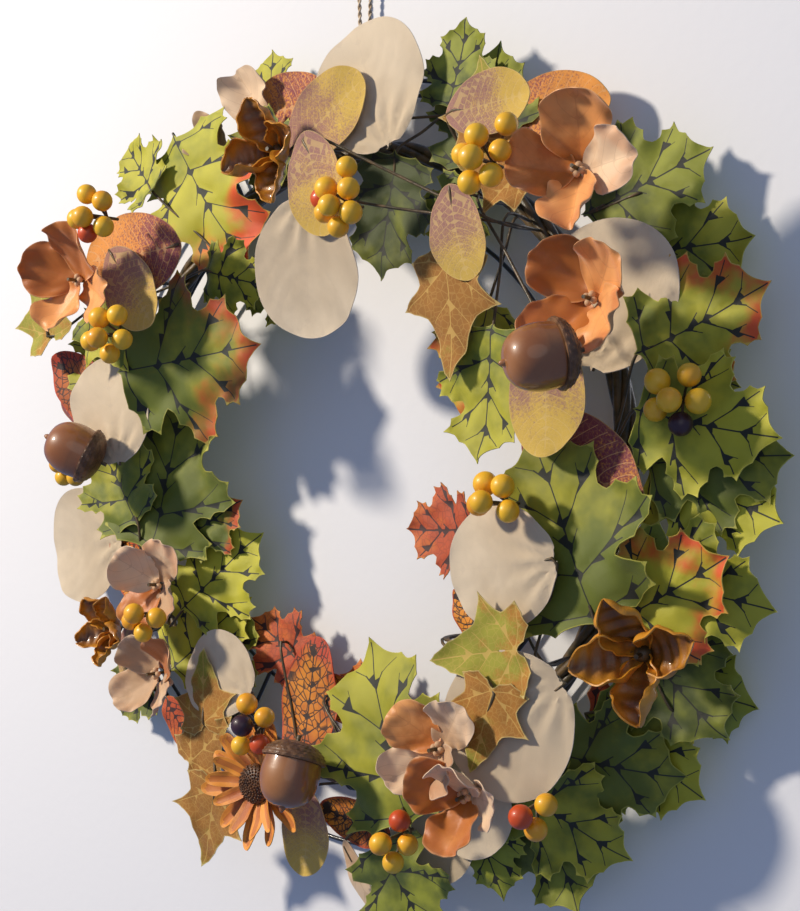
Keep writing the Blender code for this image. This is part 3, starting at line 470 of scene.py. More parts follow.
def make_mottle_group():
    """Two colours clouded into each other, with fine grain."""
    group = Shading("mottle", group=True)
    group.sockets(
        {"First": (0.5, 0.5, 0.5, 1.0), "Second": (0.5, 0.5, 0.5, 1.0), "Scale": 60.0, "Bias": 0.5},
        {"Color": "NodeSocketColor", "Height": "NodeSocketFloat", "Roughness": "NodeSocketFloat"},
    )
    where = group.add("ShaderNodeTexCoord").outputs["Object"]
    cloud = group.add("ShaderNodeTexNoise", Detail=4.0)
    grain = group.add("ShaderNodeTexNoise", Scale=1400.0, Detail=2.0)
    group.wire(where, cloud.inputs["Vector"])
    group.wire(where, grain.inputs["Vector"])
    group.wire(group.entry.outputs["Scale"], cloud.inputs["Scale"])
    bias = group.math("ADD", cloud.outputs[0], group.math("SUBTRACT", group.entry.outputs["Bias"], 0.5))
    clouded = group.step(bias, 0.35, 0.65)
    colour = group.mix(clouded, group.entry.outputs["First"], group.entry.outputs["Second"])
    group.wire(colour, group.exit.inputs["Color"])
    height = group.math("MULTIPLY_ADD", grain.outputs[0], 0.4, cloud.outputs[0])
    group.wire(height, group.exit.inputs["Height"])
    group.wire(group.math("MULTIPLY_ADD", grain.outputs[0], 0.25, 0.30), group.exit.inputs["Roughness"])
    return group.tree


def printed_cloth(name, weave, roughness, sheen, relief, **values):
    """Woven cloth under a leaf print; weave holds the threads' fineness, their darkness and their slub."""
    fineness, darkness, slub = weave
    shading = Shading(name)
    node = shading.add("ShaderNodeGroup", {"node_tree": PRINT})
    for key, value in values.items():
        colour = (*value, 1.0) if isinstance(value, tuple) else value
        node.inputs[key.replace("_", " ")].default_value = colour
    threads = shading.add("ShaderNodeGroup", {"node_tree": WEAVE}, Threads=fineness, Slub=slub)
    value = threads.outputs["Value"]
    dark = shading.math("MULTIPLY_ADD", value, darkness, 1.0 - 0.7 * darkness)
    combine = shading.add("ShaderNodeCombineColor")
    for socket in combine.inputs:
        shading.wire(dark, socket)
    shading.wire(shading.mix(1.0, node.outputs["Color"], combine.outputs[0], "MULTIPLY"),
                 shading.shader.inputs["Base Color"])
    bump = shading.add("ShaderNodeBump", Strength=relief, Distance=0.0006)
    shading.wire(shading.math("ADD", value, node.outputs["Height"]), bump.inputs["Height"])
    shading.wire(bump.outputs[0], shading.shader.inputs["Normal"])
    dull = shading.math("MULTIPLY_ADD", value, 0.12, roughness - 0.06)
    shading.wire(dull, shading.shader.inputs["Roughness"])
    shading.set(Sheen_Weight=sheen, Sheen_Roughness=0.5)
    return shading.material


def mottled(name, first, second, scale, relief, coat=0.0, bias=0.5, tinted=None):
    """Two clouded colours with a grain; tinted gives the colour that each surface trait draws it towards."""
    shading = Shading(name)
    node = shading.add("ShaderNodeGroup", {"node_tree": MOTTLE}, First=(*first, 1.0), Second=(*second, 1.0),
                       Scale=scale, Bias=bias)
    colour = node.outputs["Color"]
    for trait, tint in (tinted or {}).items():
        colour = shading.mix(shading.trait(trait), colour, (*tint, 1.0))
    shading.wire(colour, shading.shader.inputs["Base Color"])
    bump = shading.add("ShaderNodeBump", Strength=relief, Distance=0.0005)
    shading.wire(node.outputs["Height"], bump.inputs["Height"])
    shading.wire(bump.outputs[0], shading.shader.inputs["Normal"])
    shading.wire(node.outputs["Roughness"], shading.shader.inputs["Roughness"])
    shading.set(Coat_Weight=coat, Coat_Roughness=0.08)
    return shading.material


WEAVE = make_weave_group()
PRINT = make_print_group()
MOTTLE = make_mottle_group()

BLACK_VEIN = (0.012, 0.014, 0.006)
# Each Rim colour is the band along the cut edge: partly the edge's own tint, partly a painted highlight.
FINISHES = {
    "green": printed_cloth(
        "green_leaf_cloth", (9.0, 0.10, 0.5), 0.52, 0.10, 0.25,
        Base=(0.150, 0.185, 0.010), Second=(0.40, 0.375, 0.018), Blush=(0.60, 0.075, 0.010), Vein=BLACK_VEIN,
        Rim=(0.62, 0.56, 0.08), Back=(0.42, 0.42, 0.10), Second_Start=0.05, Second_End=0.85, Tone_Shift=1.0,
        Patches=0.9, Vein_Width=0.25, Rim_Width=0.55, Rim_Share=0.55, Value_Range=0.5),
    "dark": printed_cloth(
        "deep_green_leaf_cloth", (9.0, 0.10, 0.5), 0.55, 0.08, 0.25,
        Base=(0.060, 0.085, 0.008), Second=(0.24, 0.26, 0.018), Blush=(0.80, 0.50, 0.03), Vein=BLACK_VEIN,
        Rim=(0.45, 0.42, 0.06), Back=(0.30, 0.30, 0.08), Second_Start=0.1, Second_End=1.0, Tone_Shift=0.8,
        Patches=0.9, Vein_Width=0.25, Rim_Width=0.5, Rim_Share=0.4, Value_Range=0.5),
    "red": printed_cloth(
        "red_leaf_cloth", (9.0, 0.10, 0.5), 0.55, 0.10, 0.25,
        Base=(0.52, 0.075, 0.012), Second=(0.68, 0.17, 0.015), Blush=(0.60, 0.30, 0.02),
        Vein=(0.05, 0.012, 0.008), Rim=(0.70, 0.30, 0.05), Back=(0.5, 0.2, 0.06), Patches=0.8, Tone_Shift=0.8,
        Vein_Width=0.3, Net=0.25),
    "amber": printed_cloth(
        "amber_leaf_cloth", (9.0, 0.10, 0.5), 0.52, 0.10, 0.3,
        Base=(0.50, 0.095, 0.006), Second=(0.76, 0.27, 0.012), Blush=(0.55, 0.05, 0.010),
        Vein=(0.030, 0.012, 0.006), Rim=(0.62, 0.07, 0.015), Back=(0.60, 0.10, 0.02), Second_Start=-0.1,
        Second_End=0.7, Tone_Shift=0.9, Patches=0.8, Vein_Width=0.30, Net=0.92, Net_Scale=15.0, Rim_Width=1.6,
        Rim_Share=0.75, Value_Range=0.3),
    "mauve": printed_cloth(
        "mauve_to_yellow_cloth", (7.5, 0.24, 0.7), 0.78, 0.15, 0.5,
        Base=(0.42, 0.20, 0.16), Second=(0.74, 0.49, 0.085), Blush=(0.6, 0.3, 0.1), Vein=(0.76, 0.54, 0.20),
        Rim=(0.80, 0.56, 0.20), Back=(0.60, 0.46, 0.22), Second_Start=0.18, Second_End=0.72, Tone_Shift=0.5,
        Patches=0.35, Speckle=0.55, Vein_Width=0.16, Vein_Fade=0.55, Net=0.20, Net_Scale=26.0, Rim_Width=0.5,
        Value_Range=0.2),
    "plum": printed_cloth(
        "plum_leaf_cloth", (8.0, 0.14, 0.6), 0.62, 0.15, 0.35,
        Base=(0.24, 0.040, 0.055), Second=(0.70, 0.27, 0.035), Blush=(0.2, 0.02, 0.04),
        Vein=(0.78, 0.42, 0.16), Rim=(0.62, 0.36, 0.10), Back=(0.52, 0.30, 0.12), Second_Start=0.30,
        Second_End=1.15, Tone_Shift=0.9, Patches=0.6, Speckle=1.3, Vein_Width=0.20, Vein_Fade=0.7, Net=0.15,
        Net_Scale=24.0, Rim_Width=0.5, Value_Range=0.3),
    "linen": printed_cloth(
        "cream_linen_cloth", (6.5, 0.17, 0.9), 0.85, 0.20, 0.55,
        Base=(0.68, 0.54, 0.36), Second=(0.78, 0.64, 0.45), Blush=(0.6, 0.5, 0.4), Vein=(0.50, 0.40, 0.30),
        Rim=(0.76, 0.64, 0.50), Back=(0.60, 0.48, 0.36), Patches=0.3, Tone_Shift=0.6, Vein_Width=0.1,
        Vein_Fade=0.12, Rim_Width=0.5, Rim_Share=0.5, Value_Range=0.16),
    "ivy": printed_cloth(
        "ivy_leaf_cloth", (9.0, 0.14, 0.6), 0.62, 0.12, 0.35,
        Base=(0.42, 0.17, 0.012), Second=(0.29, 0.27, 0.018), Blush=(0.4, 0.1, 0.01), Vein=(0.66, 0.42, 0.10),
        Rim=(0.74, 0.58, 0.20), Back=(0.35, 0.28, 0.08), Second_Start=0.25, Second_End=0.85, Tone_Shift=1.3,
        Patches=0.9, Speckle=0.35, Vein_Width=0.20, Vein_Fade=0.7, Net=0.22, Net_Scale=16.0, Rim_Width=0.7,
        Rim_Share=0.7, Value_Range=0.4),
    "peach": printed_cloth(
        "peach_petal_satin", (11.0, 0.05, 0.3), 0.42, 0.25, 0.12,
        Base=(0.54, 0.155, 0.010), Second=(0.78, 0.34, 0.095), Blush=(0.46, 0.09, 0.008),
        Vein=(0.45, 0.12, 0.03), Rim=(0.84, 0.44, 0.17), Back=(0.70, 0.38, 0.16), Second_Start=0.0,
        Second_End=1.0, Tone_Shift=1.6, Patches=0.5, Vein_Width=0.18, Vein_Fade=0.25, Rim_Width=0.8,
        Rim_Share=0.5, Value_Range=0.3),
    "beige": printed_cloth(
        "beige_petal_satin", (11.0, 0.06, 0.4), 0.55, 0.25, 0.15,
        Base=(0.55, 0.34, 0.18), Second=(0.72, 0.52, 0.33), Blush=(0.6, 0.2, 0.05), Vein=(0.42, 0.26, 0.14),
        Rim=(0.80, 0.62, 0.42), Back=(0.62, 0.44, 0.27), Tone_Shift=1.2, Patches=0.4, Vein_Width=0.16,
        Vein_Fade=0.3, Rim_Width=0.8, Rim_Share=0.4, Value_Range=0.3),
    "daisy": printed_cloth(
        "orange_ray_satin", (10.0, 0.06, 0.4), 0.45, 0.25, 0.2,
        Base=(0.56, 0.13, 0.012), Second=(0.80, 0.29, 0.020), Blush=(0.5, 0.1, 0.01), Vein=(0.40, 0.08, 0.010),
        Rim=(0.86, 0.40, 0.06), Back=(0.60, 0.22, 0.03), Second_Start=0.0, Second_End=0.8, Tone_Shift=0.7,
        Patches=0.4, Vein_Width=0.22, Vein_Fade=0.6, Rim_Width=0.6, Rim_Share=0.4, Value_Range=0.25),
    "husk": mottled("gold_husk", (0.34, 0.12, 0.012), (0.66, 0.28, 0.022), 90.0, 0.9, coat=0.25, bias=0.58,
                    tinted={"back": (0.085, 0.030, 0.010)}),
    "berry": mottled("berry_lacquer", (0.86, 0.33, 0.010), (0.93, 0.52, 0.020), 70.0, 0.10, coat=0.15,
                     tinted={"tone": (0.86, 0.50, 0.022), "blush": (0.62, 0.075, 0.010),
                             "dark": (0.035, 0.010, 0.020)}),
    "acorn_nut": mottled("acorn_shell", (0.26, 0.085, 0.016), (0.37, 0.15, 0.040), 45.0, 0.05, coat=0.9),
    "acorn_cap": mottled("acorn_cap_scales", (0.10, 0.045, 0.018), (0.22, 0.11, 0.050), 200.0, 0.8),
    "seed": mottled("seed_pile", (0.035, 0.014, 0.006), (0.16, 0.060, 0.016), 500.0, 1.0),
    "stem": mottled("stem_tape", (0.045, 0.036, 0.014), (0.13, 0.080, 0.030), 160.0, 0.7),
    "wire": mottled("black_wire_paint", (0.010, 0.010, 0.011), (0.022, 0.021, 0.020), 220.0, 0.15, coat=0.2),
    "jute": mottled("jute_fibre", (0.44, 0.31, 0.18), (0.68, 0.53, 0.35), 420.0, 0.9),
}

# ---------------------------------------------------------------- meshes

TRAITS = ("vein", "rim", "tone", "blush", "back", "dark")
# A distance to a vein or an edge that leaves no mark.
FAR = 9.0


class Pile:
    """Points, faces and surface traits gathered into one object."""

    def __init__(self):
        self.points, self.faces, self.finish, self.traits, self.flat, self.spot = [], [], [], [], [], []
        self.count = 0

    def put(self, points, faces, finish, traits=None, flat=None, spot=None):
        points = np.asarray(points, float)
        size = len(points)
        self.faces += [tuple(int(i) + self.count for i in face) for face in faces]
        self.finish += [finish] * len(faces)
        self.points.append(points)
        table = np.zeros((size, len(TRAITS)))
        table[:, :2] = FAR
        for name, value in (traits or {}).items():
            table[:, TRAITS.index(name)] = value
        self.traits.append(table)
        self.flat.append(points * 100.0 if flat is None else flat)
        self.spot.append(points * 10.0 if spot is None else spot)
        self.count += size

    def build(self, name, body, nodes):
        mesh = bpy.data.meshes.new(name)
        points = np.concatenate(self.points)
        mesh.from_pydata(points.tolist(), [], self.faces)
        used = list(dict.fromkeys(self.finish))
        for finish in used:
            mesh.materials.append(FINISHES[finish])
        mesh.polygons.foreach_set("material_index", [used.index(finish) for finish in self.finish])
        table = np.concatenate(self.traits)
        for column, trait in enumerate(TRAITS):
            layer = mesh.attributes.new(trait, "FLOAT", "POINT")
            layer.data.foreach_set("value", np.ascontiguousarray(table[:, column]))
        for trait, rows in (("flat", self.flat), ("spot", self.spot)):
            layer = mesh.attributes.new(trait, "FLOAT_VECTOR", "POINT")
            layer.data.foreach_set("vector", np.concatenate(rows).ravel())
        mesh.shade_smooth()
        mesh.set_sharp_from_angle(angle=math.radians(58))
        piece = link(name, mesh)
        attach(piece, body)
        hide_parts(*nodes)
        return piece


def on_ring(clock, radius, lift=0.0):
    """A place at an angle clockwise from the top, this far from the ring's middle and forward of its plane."""
    angle = math.radians(clock)
    return Vector((radius * math.sin(angle), -lift, radius * math.cos(angle) - HANG_DROP))


def leaf_frame(clock, radius, heading, length, rise=0.0):
    """A leaf's X across, Y along and Z to the front, at its foot, leaned over the wreath's round section."""
    base = on_ring(clock, radius)
    angle = math.radians(heading)
    along = Vector((math.sin(angle), 0.0, math.cos(angle)))
    front = Vector((0.0, -1.0, 0.0))
    across = along.cross(front)
    turn = Matrix.Rotation(math.radians(rise), 3, across)
    middle = base + 0.5 * length * along + Vector((0.0, 0.0, HANG_DROP))
    outward = middle.normalized()
    share = max(-1.0, min(1.0, (middle.length - STEM_RING_RADIUS) / DOME_REACH))
    lean = Matrix.Rotation(math.radians(DOME_LEAN * share), 3, front.cross(outward))
    axes = lean @ turn @ Matrix((across, along, front)).transposed()
    return Matrix.Translation(base) @ axes.to_4x4()


# How far the tip of each kind stands off its own plane, as a share of its length. A leaf's tip falls back.
TIP_RISES = {"petal": 0.10, "husk": 0.20}
LEAF_TIP_RISE = -0.03


def settle(node, points):
    """How far forward the frame holds a piece, from points of its own surface as if it lay on the plane."""
    same_corner, same_lift, past = 0.00015, 0.0002, 0.00002
    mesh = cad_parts[node].data
    corners = np.array([vert.co[:] for vert in mesh.vertices])
    tree = BVHTree.FromPolygons([vert.co for vert in mesh.vertices], [face.vertices for face in mesh.polygons])
    lifts = []
    for point in points:
        near = np.abs(corners[:, [0, 2]] - (point.x, point.z)).max(1) < same_corner
        lifts += list(point.y - corners[near, 1])
        start = Vector((point.x, -1.0, point.z))
        while start is not None:
            place = tree.ray_cast(start, Vector((0.0, 1.0, 0.0)))[0]
            if place is not None:
                lifts.append(point.y - place.y)
                place = place + Vector((0.0, past, 0.0))
            start = place
    lifts = np.array(lifts)
    votes = (np.abs(lifts[:, None] - lifts) < same_lift).sum(1)
    return float(lifts[votes == votes.max()].max())


def rib_points(kind, seat, length):
    """Places along a piece's middle line, which is bent once, half way to the tip."""
    rise = TIP_RISES.get(kind, LEAF_TIP_RISE)
    half = 0.25 * rise
    shares = (0.0, 0.15, 0.3, 0.5, 0.7, 0.85, 1.0)
    heights = [half * s / 0.5 if s <= 0.5 else half + (rise - half) * (s - 0.5) / 0.5 for s in shares]
    return [seat @ Vector((0.0, s * length, h * length)) for s, h in zip(shares, heights)]


def foot_of(node):
    """Where a pick's own post stands on the garland stem."""
    corners = np.array([vert.co[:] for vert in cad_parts[node].data.vertices])
    rear = corners[corners[:, 1] > -POST_END_HEIGHT]
    return Vector(rear.mean(0)) if len(rear) else None


# Half outlines from foot to tip, as shares of the length: (across, along).
OAK_HALF = (
    (0.02, 0.035), (0.10, 0.05), (0.22, 0.035), (0.28, 0.075), (0.38, 0.085), (0.36, 0.135), (0.40, 0.19),
    (0.33, 0.225), (0.26, 0.275), (0.29, 0.315), (0.36, 0.325), (0.38, 0.37), (0.45, 0.395), (0.505, 0.465),
    (0.455, 0.49), (0.465, 0.575), (0.40, 0.565), (0.35, 0.605), (0.275, 0.59), (0.245, 0.63), (0.26, 0.685),
    (0.30, 0.715), (0.285, 0.765), (0.31, 0.81), (0.225, 0.82), (0.18, 0.865), (0.11, 0.885), (0.05, 0.935),
)
# Veins of the right half as lines, each with its strength. The first runs up the middle.
OAK_VEINS = (
    (((0.0, 0.0), (0.005, 0.5), (0.0, 0.97)), 1.0), (((0.0, 0.06), (0.17, 0.09), (0.35, 0.13)), 0.8),
    (((0.0, 0.25), (0.18, 0.33), (0.47, 0.47)), 0.9), (((0.0, 0.49), (0.12, 0.62), (0.27, 0.77)), 0.8),
    (((0.0, 0.72), (0.06, 0.80), (0.14, 0.85)), 0.55), (((0.17, 0.09), (0.24, 0.065)), 0.45),
    (((0.20, 0.095), (0.28, 0.165)), 0.45), (((0.16, 0.32), (0.30, 0.34)), 0.5),
    (((0.24, 0.36), (0.38, 0.54)), 0.5), (((0.10, 0.29), (0.17, 0.285)), 0.4),
    (((0.12, 0.62), (0.22, 0.68)), 0.45), (((0.16, 0.66), (0.17, 0.76)), 0.4),
    (((0.30, 0.39), (0.40, 0.40)), 0.4), (((0.0, 0.38), (0.07, 0.47)), 0.4),
)
IVY_HALF = (
    (0.03, -0.015), (0.07, -0.07), (0.21, -0.13), (0.33, -0.085), (0.44, -0.03), (0.385, 0.06), (0.35, 0.16),
    (0.42, 0.26), (0.56, 0.385), (0.42, 0.415), (0.275, 0.46), (0.22, 0.58), (0.14, 0.77), (0.05, 0.93),
)
IVY_VEINS = (
    (((0.0, 0.0), (0.0, 0.96)), 1.0), (((0.0, 0.02), (0.24, 0.19), (0.50, 0.37)), 0.8),
    (((0.0, 0.02), (0.20, -0.03), (0.39, -0.03)), 0.7), (((0.0, 0.30), (0.12, 0.42), (0.20, 0.50)), 0.5),
    (((0.0, 0.52), (0.08, 0.63), (0.13, 0.72)), 0.45), (((0.24, 0.19), (0.26, 0.32)), 0.4),
    (((0.20, -0.03), (0.24, -0.09)), 0.35), (((0.12, 0.10), (0.28, 0.11)), 0.4),
)
# Width share, bluntness, point, lateral veins, how steeply they run.
OVALS = {
    "round": (0.96, 0.15, 1.0, 6, 0.9), "oval": (0.68, 0.25, 1.12, 11, 0.34),
    "plum": (0.64, 0.0, 1.2, 11, 0.36), "amber": (0.52, -0.15, 1.15, 8, 0.42),
    "petal": (0.90, 0.5, 0.92, 4, 0.9), "narrow": (0.27, 0.0, 1.2, 5, 0.3), "ray": (0.27, 0.4, 0.9, 0, 0.3),
}
# Spacing of the points of a blank, as a share of its length: small leaves are cut coarser than large ones.
LARGE_LEAF = 0.06
LARGE_SPACING, SMALL_SPACING = 0.034, 0.045
BLANKS = {}


def oval_width(kind, along):
    width, blunt, point = OVALS[kind][:3]
    return 0.5 * width * math.sin(math.acos(1 - 2 * along)) ** point * (1.0 + blunt * (along - 0.5))


def outline(kind, spacing):
    """The cut edge as a closed loop of evenly spaced points; a lobed leaf's sides are a little hollow."""
    hollow = 0.05
    if kind in OVALS:
        steps = 40
        places = [0.5 - 0.5 * math.cos(math.pi * s / steps) for s in range(1, steps)]
        half = [(oval_width(kind, place), place) for place in places]
        if kind == "round":
            half = [(0.012, 0.03), *[pair for pair in half if pair[1] > 0.012]]
    else:
        half = OAK_HALF if kind == "oak" else IVY_HALF
    loop = [(0.0, 0.0), *half, (0.0, 1.0), *[(-x, y) for x, y in reversed(half)]]
    dense = []
    for (ax, ay), (bx, by) in zip(loop, loop[1:] + loop[:1]):
        steps = max(1, round(math.hypot(bx - ax, by - ay) / spacing))
        for step in range(steps):
            share = step / steps
            sag = 0.0 if kind in OVALS else hollow * math.sin(math.pi * share)
            x, y = ax + (bx - ax) * share, ay + (by - ay) * share
            dense.append((x - sag * (by - ay), y + sag * (bx - ax)))
    return dense


def vein_lines(kind):
    if kind in OVALS:
        laterals, slope = OVALS[kind][3:]
        lines = [(((0.0, 0.0), (0.0, 0.5), (0.0, 0.94)), 1.0)]
        if kind == "ray":
            lines += [(((side * 0.045, 0.12), (side * 0.05, 0.5), (side * 0.05, 0.9)), 0.7)
                      for side in (-1, 1)]
        for number in range(laterals):
            start = 0.05 + 0.80 * number / max(1, laterals - 1)
            for side in (-1, 1):
                line = []
                for step in range(6):
                    share = step / 5
                    along = min(0.97, start + slope * 0.5 * share ** 1.3)
                    line.append((side * 0.90 * share * oval_width(kind, along), along))
                lines.append((line, 0.55))
        return lines
    halves = OAK_VEINS if kind == "oak" else IVY_VEINS
    return list(halves) + [(tuple((-x, y + 0.012) for x, y in line), weight) for line, weight in halves[1:]]


def distance_to(points, starts, ends, weights):
    """How far each point is from the nearest of some straight lines; a weak line counts as further off."""
    nearest = np.full(len(points), FAR)
    for start, end, weight in zip(starts, ends, weights):
        way = end - start
        share = np.clip(((points - start) @ way) / max(1e-12, way @ way), 0.0, 1.0)
        gap = np.linalg.norm(points - start - share[:, None] * way, axis=1)
        nearest = np.minimum(nearest, gap / weight)
    return nearest


def blank(kind, spacing):
    """A cut piece of cloth at unit length: points, triangles, and distances to its veins and its cut edge."""
    if (kind, spacing) in BLANKS:
        return BLANKS[kind, spacing]
    loop = outline(kind, 0.7 * spacing)
    points = list(loop)
    edges, starts, ends, weights = [], [], [], []
    for line, weight in vein_lines(kind):
        for (ax, ay), (bx, by) in zip(line, line[1:]):
            steps = max(1, round(math.hypot(bx - ax, by - ay) / spacing))
            for step in range(steps):
                edges.append((len(points), len(points) + 1))
                points += [(ax + (bx - ax) * step / steps, ay + (by - ay) * step / steps),
                           (ax + (bx - ax) * (step + 1) / steps, ay + (by - ay) * (step + 1) / steps)]
            starts.append((ax, ay))
            ends.append((bx, by))
            weights.append(weight)
    starts, ends = np.array(starts), np.array(ends)
    ring = np.array(loop)
    clearance = 0.4 * spacing
    rows = np.arange(-0.2, 1.02, 0.87 * spacing)
    grid = np.array([(x + (0.5 * spacing if i % 2 else 0.0), y) for i, y in enumerate(rows)
                     for x in np.arange(-0.62, 0.62, spacing)])
    clear = distance_to(grid, starts, ends, np.ones(len(starts))) > clearance
    clear &= distance_to(grid, ring, np.roll(ring, -1, 0), np.ones(len(ring))) > clearance
    points += [tuple(pair) for pair in grid[clear]]
    made = delaunay_2d_cdt([Vector(pair) for pair in points], edges, [list(range(len(loop)))], 1, 1e-5)
    held, faces = np.unique([tuple(face) for face in made[2]], return_inverse=True)
    flat = np.array([tuple(pair) for pair in made[0]])[held]
    cut = {
        "points": flat, "faces": [tuple(face) for face in faces.reshape(-1, 3).tolist()],
        "vein": distance_to(flat, starts, ends, np.array(weights)),
        "rib": distance_to(flat, starts, ends, np.ones(len(starts))),
        "rim": distance_to(flat, ring, np.roll(ring, -1, 0), np.ones(len(ring))),
    }
    edges = {}
    for face in cut["faces"]:
        for a, b in zip(face, face[1:] + face[:1]):
            edges[a, b] = True
    cut["border"] = [(a, b) for a, b in edges if (b, a) not in edges]
    BLANKS[kind, spacing] = cut
    return cut


# How each kind is bent: curl of the tip, cup across, waves of the edge, quilting between veins, sideways bend.
BENDS = {
    "oak": (0.10, 0.10, 0.030, 0.014, 0.05), "ivy": (0.08, 0.08, 0.020, 0.006, 0.04),
    "round": (0.05, 0.07, 0.010, 0.003, 0.02), "oval": (0.10, 0.12, 0.008, 0.003, 0.05),
    "plum": (0.10, 0.14, 0.010, 0.004, 0.05), "amber": (0.10, 0.22, 0.016, 0.004, 0.07),
    "narrow": (0.15, 0.25, 0.010, 0.002, 0.10), "petal": (0.30, 0.26, 0.050, 0.004, 0.05),
    "ray": (0.16, 0.30, 0.010, 0.012, 0.04),
}


def twice(values):
    """Values for the front of a piece, and again for its back."""
    return np.concatenate([values, values])


def cloth_piece(pile, kind, seat, length, lift, finish, chance, blush=0.0):
    """One cut cloth shape, bent, with its own thickness."""
    cut = blank(kind, LARGE_SPACING if length > LARGE_LEAF else SMALL_SPACING)
    x, y = cut["points"].T
    curl, cup, wave, quilt, bend = BENDS[kind]
    rise = TIP_RISES.get(kind, LEAF_TIP_RISE)
    fold = 0.15 if kind == "petal" else -0.03
    tip = chance.uniform(-0.35, 1.0) * curl
    height = rise * y * y + fold * np.abs(x) + tip * np.clip(y - 0.35, 0, 1) ** 2 * 2.0
    height += chance.uniform(-0.3, 1.0) * cup * (np.sqrt(x * x + 0.003) - 0.055) * 2.0 * (0.4 + y)
    phase = chance.uniform(0, 6.28, 4)
    edge = np.exp(-cut["rim"] / 0.10)
    height += wave * edge * (np.sin(9.0 * y + phase[0]) + 0.8 * np.sin(15.0 * y + 6.0 * x + phase[1])
                             + 0.5 * np.sin(23.0 * x + 11.0 * y + phase[2]))
    height += quilt * (1.0 - np.exp(-(cut["rib"] / 0.035) ** 2))
    # A round leaf is gathered in pleats at its foot and dished round it; a petal's tip is frilled.
    if kind == "round":
        spread = np.arctan2(x, y + 0.02)
        reach = np.hypot(x, y)
        height += 0.014 * np.sin(spread * 13.0 + phase[3]) * np.exp(-((reach - 0.22) / 0.17) ** 2)
        height += 0.02 * (1 - np.exp(-(reach / 0.14) ** 2))
    if kind == "petal":
        height += 0.02 * np.sin(16.0 * x + phase[3]) * y
    x = x + chance.uniform(-1, 1) * bend * y * y * 2.0
    front = np.stack([x * length, y * length, height * length], 1)
    normal = np.zeros_like(front)
    faces = np.array(cut["faces"])
    a, b, c = front[faces[:, 0]], front[faces[:, 1]], front[faces[:, 2]]
    flat_normal = np.cross(b - a, c - a)
    for corner in range(3):
        np.add.at(normal, faces[:, corner], flat_normal)
    normal /= np.maximum(np.linalg.norm(normal, axis=1), 1e-15)[:, None]
    back = front - CLOTH * normal
    both = np.concatenate([front, back])
    axes, base = np.array(seat.to_3x3()), np.array(seat.translation)
    world = both @ axes.T + base - np.array((0.0, lift, 0.0))
    size = len(front)
    sides = cut["faces"] + [tuple(i + size for i in reversed(face)) for face in cut["faces"]]
    sides += [(b, a, a + size, b + size) for a, b in cut["border"]]
    seed = chance.uniform(0, 90)
    tone = chance.uniform(0, 1)
    flat = np.stack([twice(x), twice(y), np.full(2 * size, 0.0)], 1) * (length * 100.0) + (0, 0, seed)
    spot = np.stack([twice(x), twice(y), np.full(2 * size, seed)], 1)
    traits = {
        "vein": twice(cut["vein"]) * length * 1000, "rim": twice(cut["rim"]) * length * 1000, "tone": tone,
        "blush": blush, "back": np.concatenate([np.zeros(size), np.ones(size)]),
    }
    pile.put(world, sides, finish, traits, flat, spot)


def smooth_line(route, count):
    """Points at even steps on a smooth curve through a route."""
    route = [Vector(point) for point in route]
    ends = [2 * route[0] - route[1], *route, 2 * route[-1] - route[-2]]
    fine = []
    for a, b, c, d in zip(ends, ends[1:], ends[2:], ends[3:]):
        for step in range(24):
            t = step / 24
            fine.append(0.5 * (2 * b + (c - a) * t + (2 * a - 5 * b + 4 * c - d) * t * t
                               + (3 * b - 3 * c + d - a) * t * t * t))
    fine.append(route[-1])
    reached = np.concatenate([[0.0], np.cumsum([(f - n).length for n, f in zip(fine, fine[1:])])])
    places = np.linspace(0.0, reached[-1], count)
    return [Vector([np.interp(place, reached, [point[axis] for point in fine]) for axis in range(3)])
            for place in places]


def tube(pile, route, radius, finish, sides=8, closed=False, plies=1, pitch=0.01):
    """A round rod, or a rope of several plies laid round one another, along a route."""
    count = len(route)
    guide = Vector((0.0, -1.0, 0.0))
    across = []
    previous = None
    for index, centre in enumerate(route):
        before = route[(index - 1) % count] if closed or index else centre
        after = route[(index + 1) % count] if closed or index < count - 1 else centre
        along = (after - before).normalized()
        if previous is None:
            side = along.cross(guide if abs(along.y) < 0.9 else Vector((1.0, 0.0, 0.0)))
        else:
            side = previous - along * previous.dot(along)
        previous = side.normalized()
        across.append((previous, along.cross(previous)))
    ply = radius if plies == 1 else radius * (0.54 if plies == 2 else 0.40)
    out = 0.0 if plies == 1 else radius - ply
    for number in range(plies):
        points, faces = [], []
        run = 0.0
        for index, centre in enumerate(route):
            if index:
                run += (centre - route[index - 1]).length
            one, two = across[index]
            turn = 2 * math.pi * (number / plies + run / pitch)
            middle = centre + out * (math.cos(turn) * one + math.sin(turn) * two)
            for side in range(sides):
                angle = 2 * math.pi * side / sides
                points.append(middle + ply * (math.cos(angle) * one + math.sin(angle) * two))
        for index in range(count if closed else count - 1):
            here, there = index * sides, (index + 1) % count * sides
            for side in range(sides):
                beside = (side + 1) % sides
                faces.append((here + side, there + side, there + beside, here + beside))
        if not closed:
            faces.append(tuple(range(sides)))
            faces.append(tuple(reversed(range((count - 1) * sides, count * sides))))
        pile.put([tuple(point) for point in points], faces, finish)


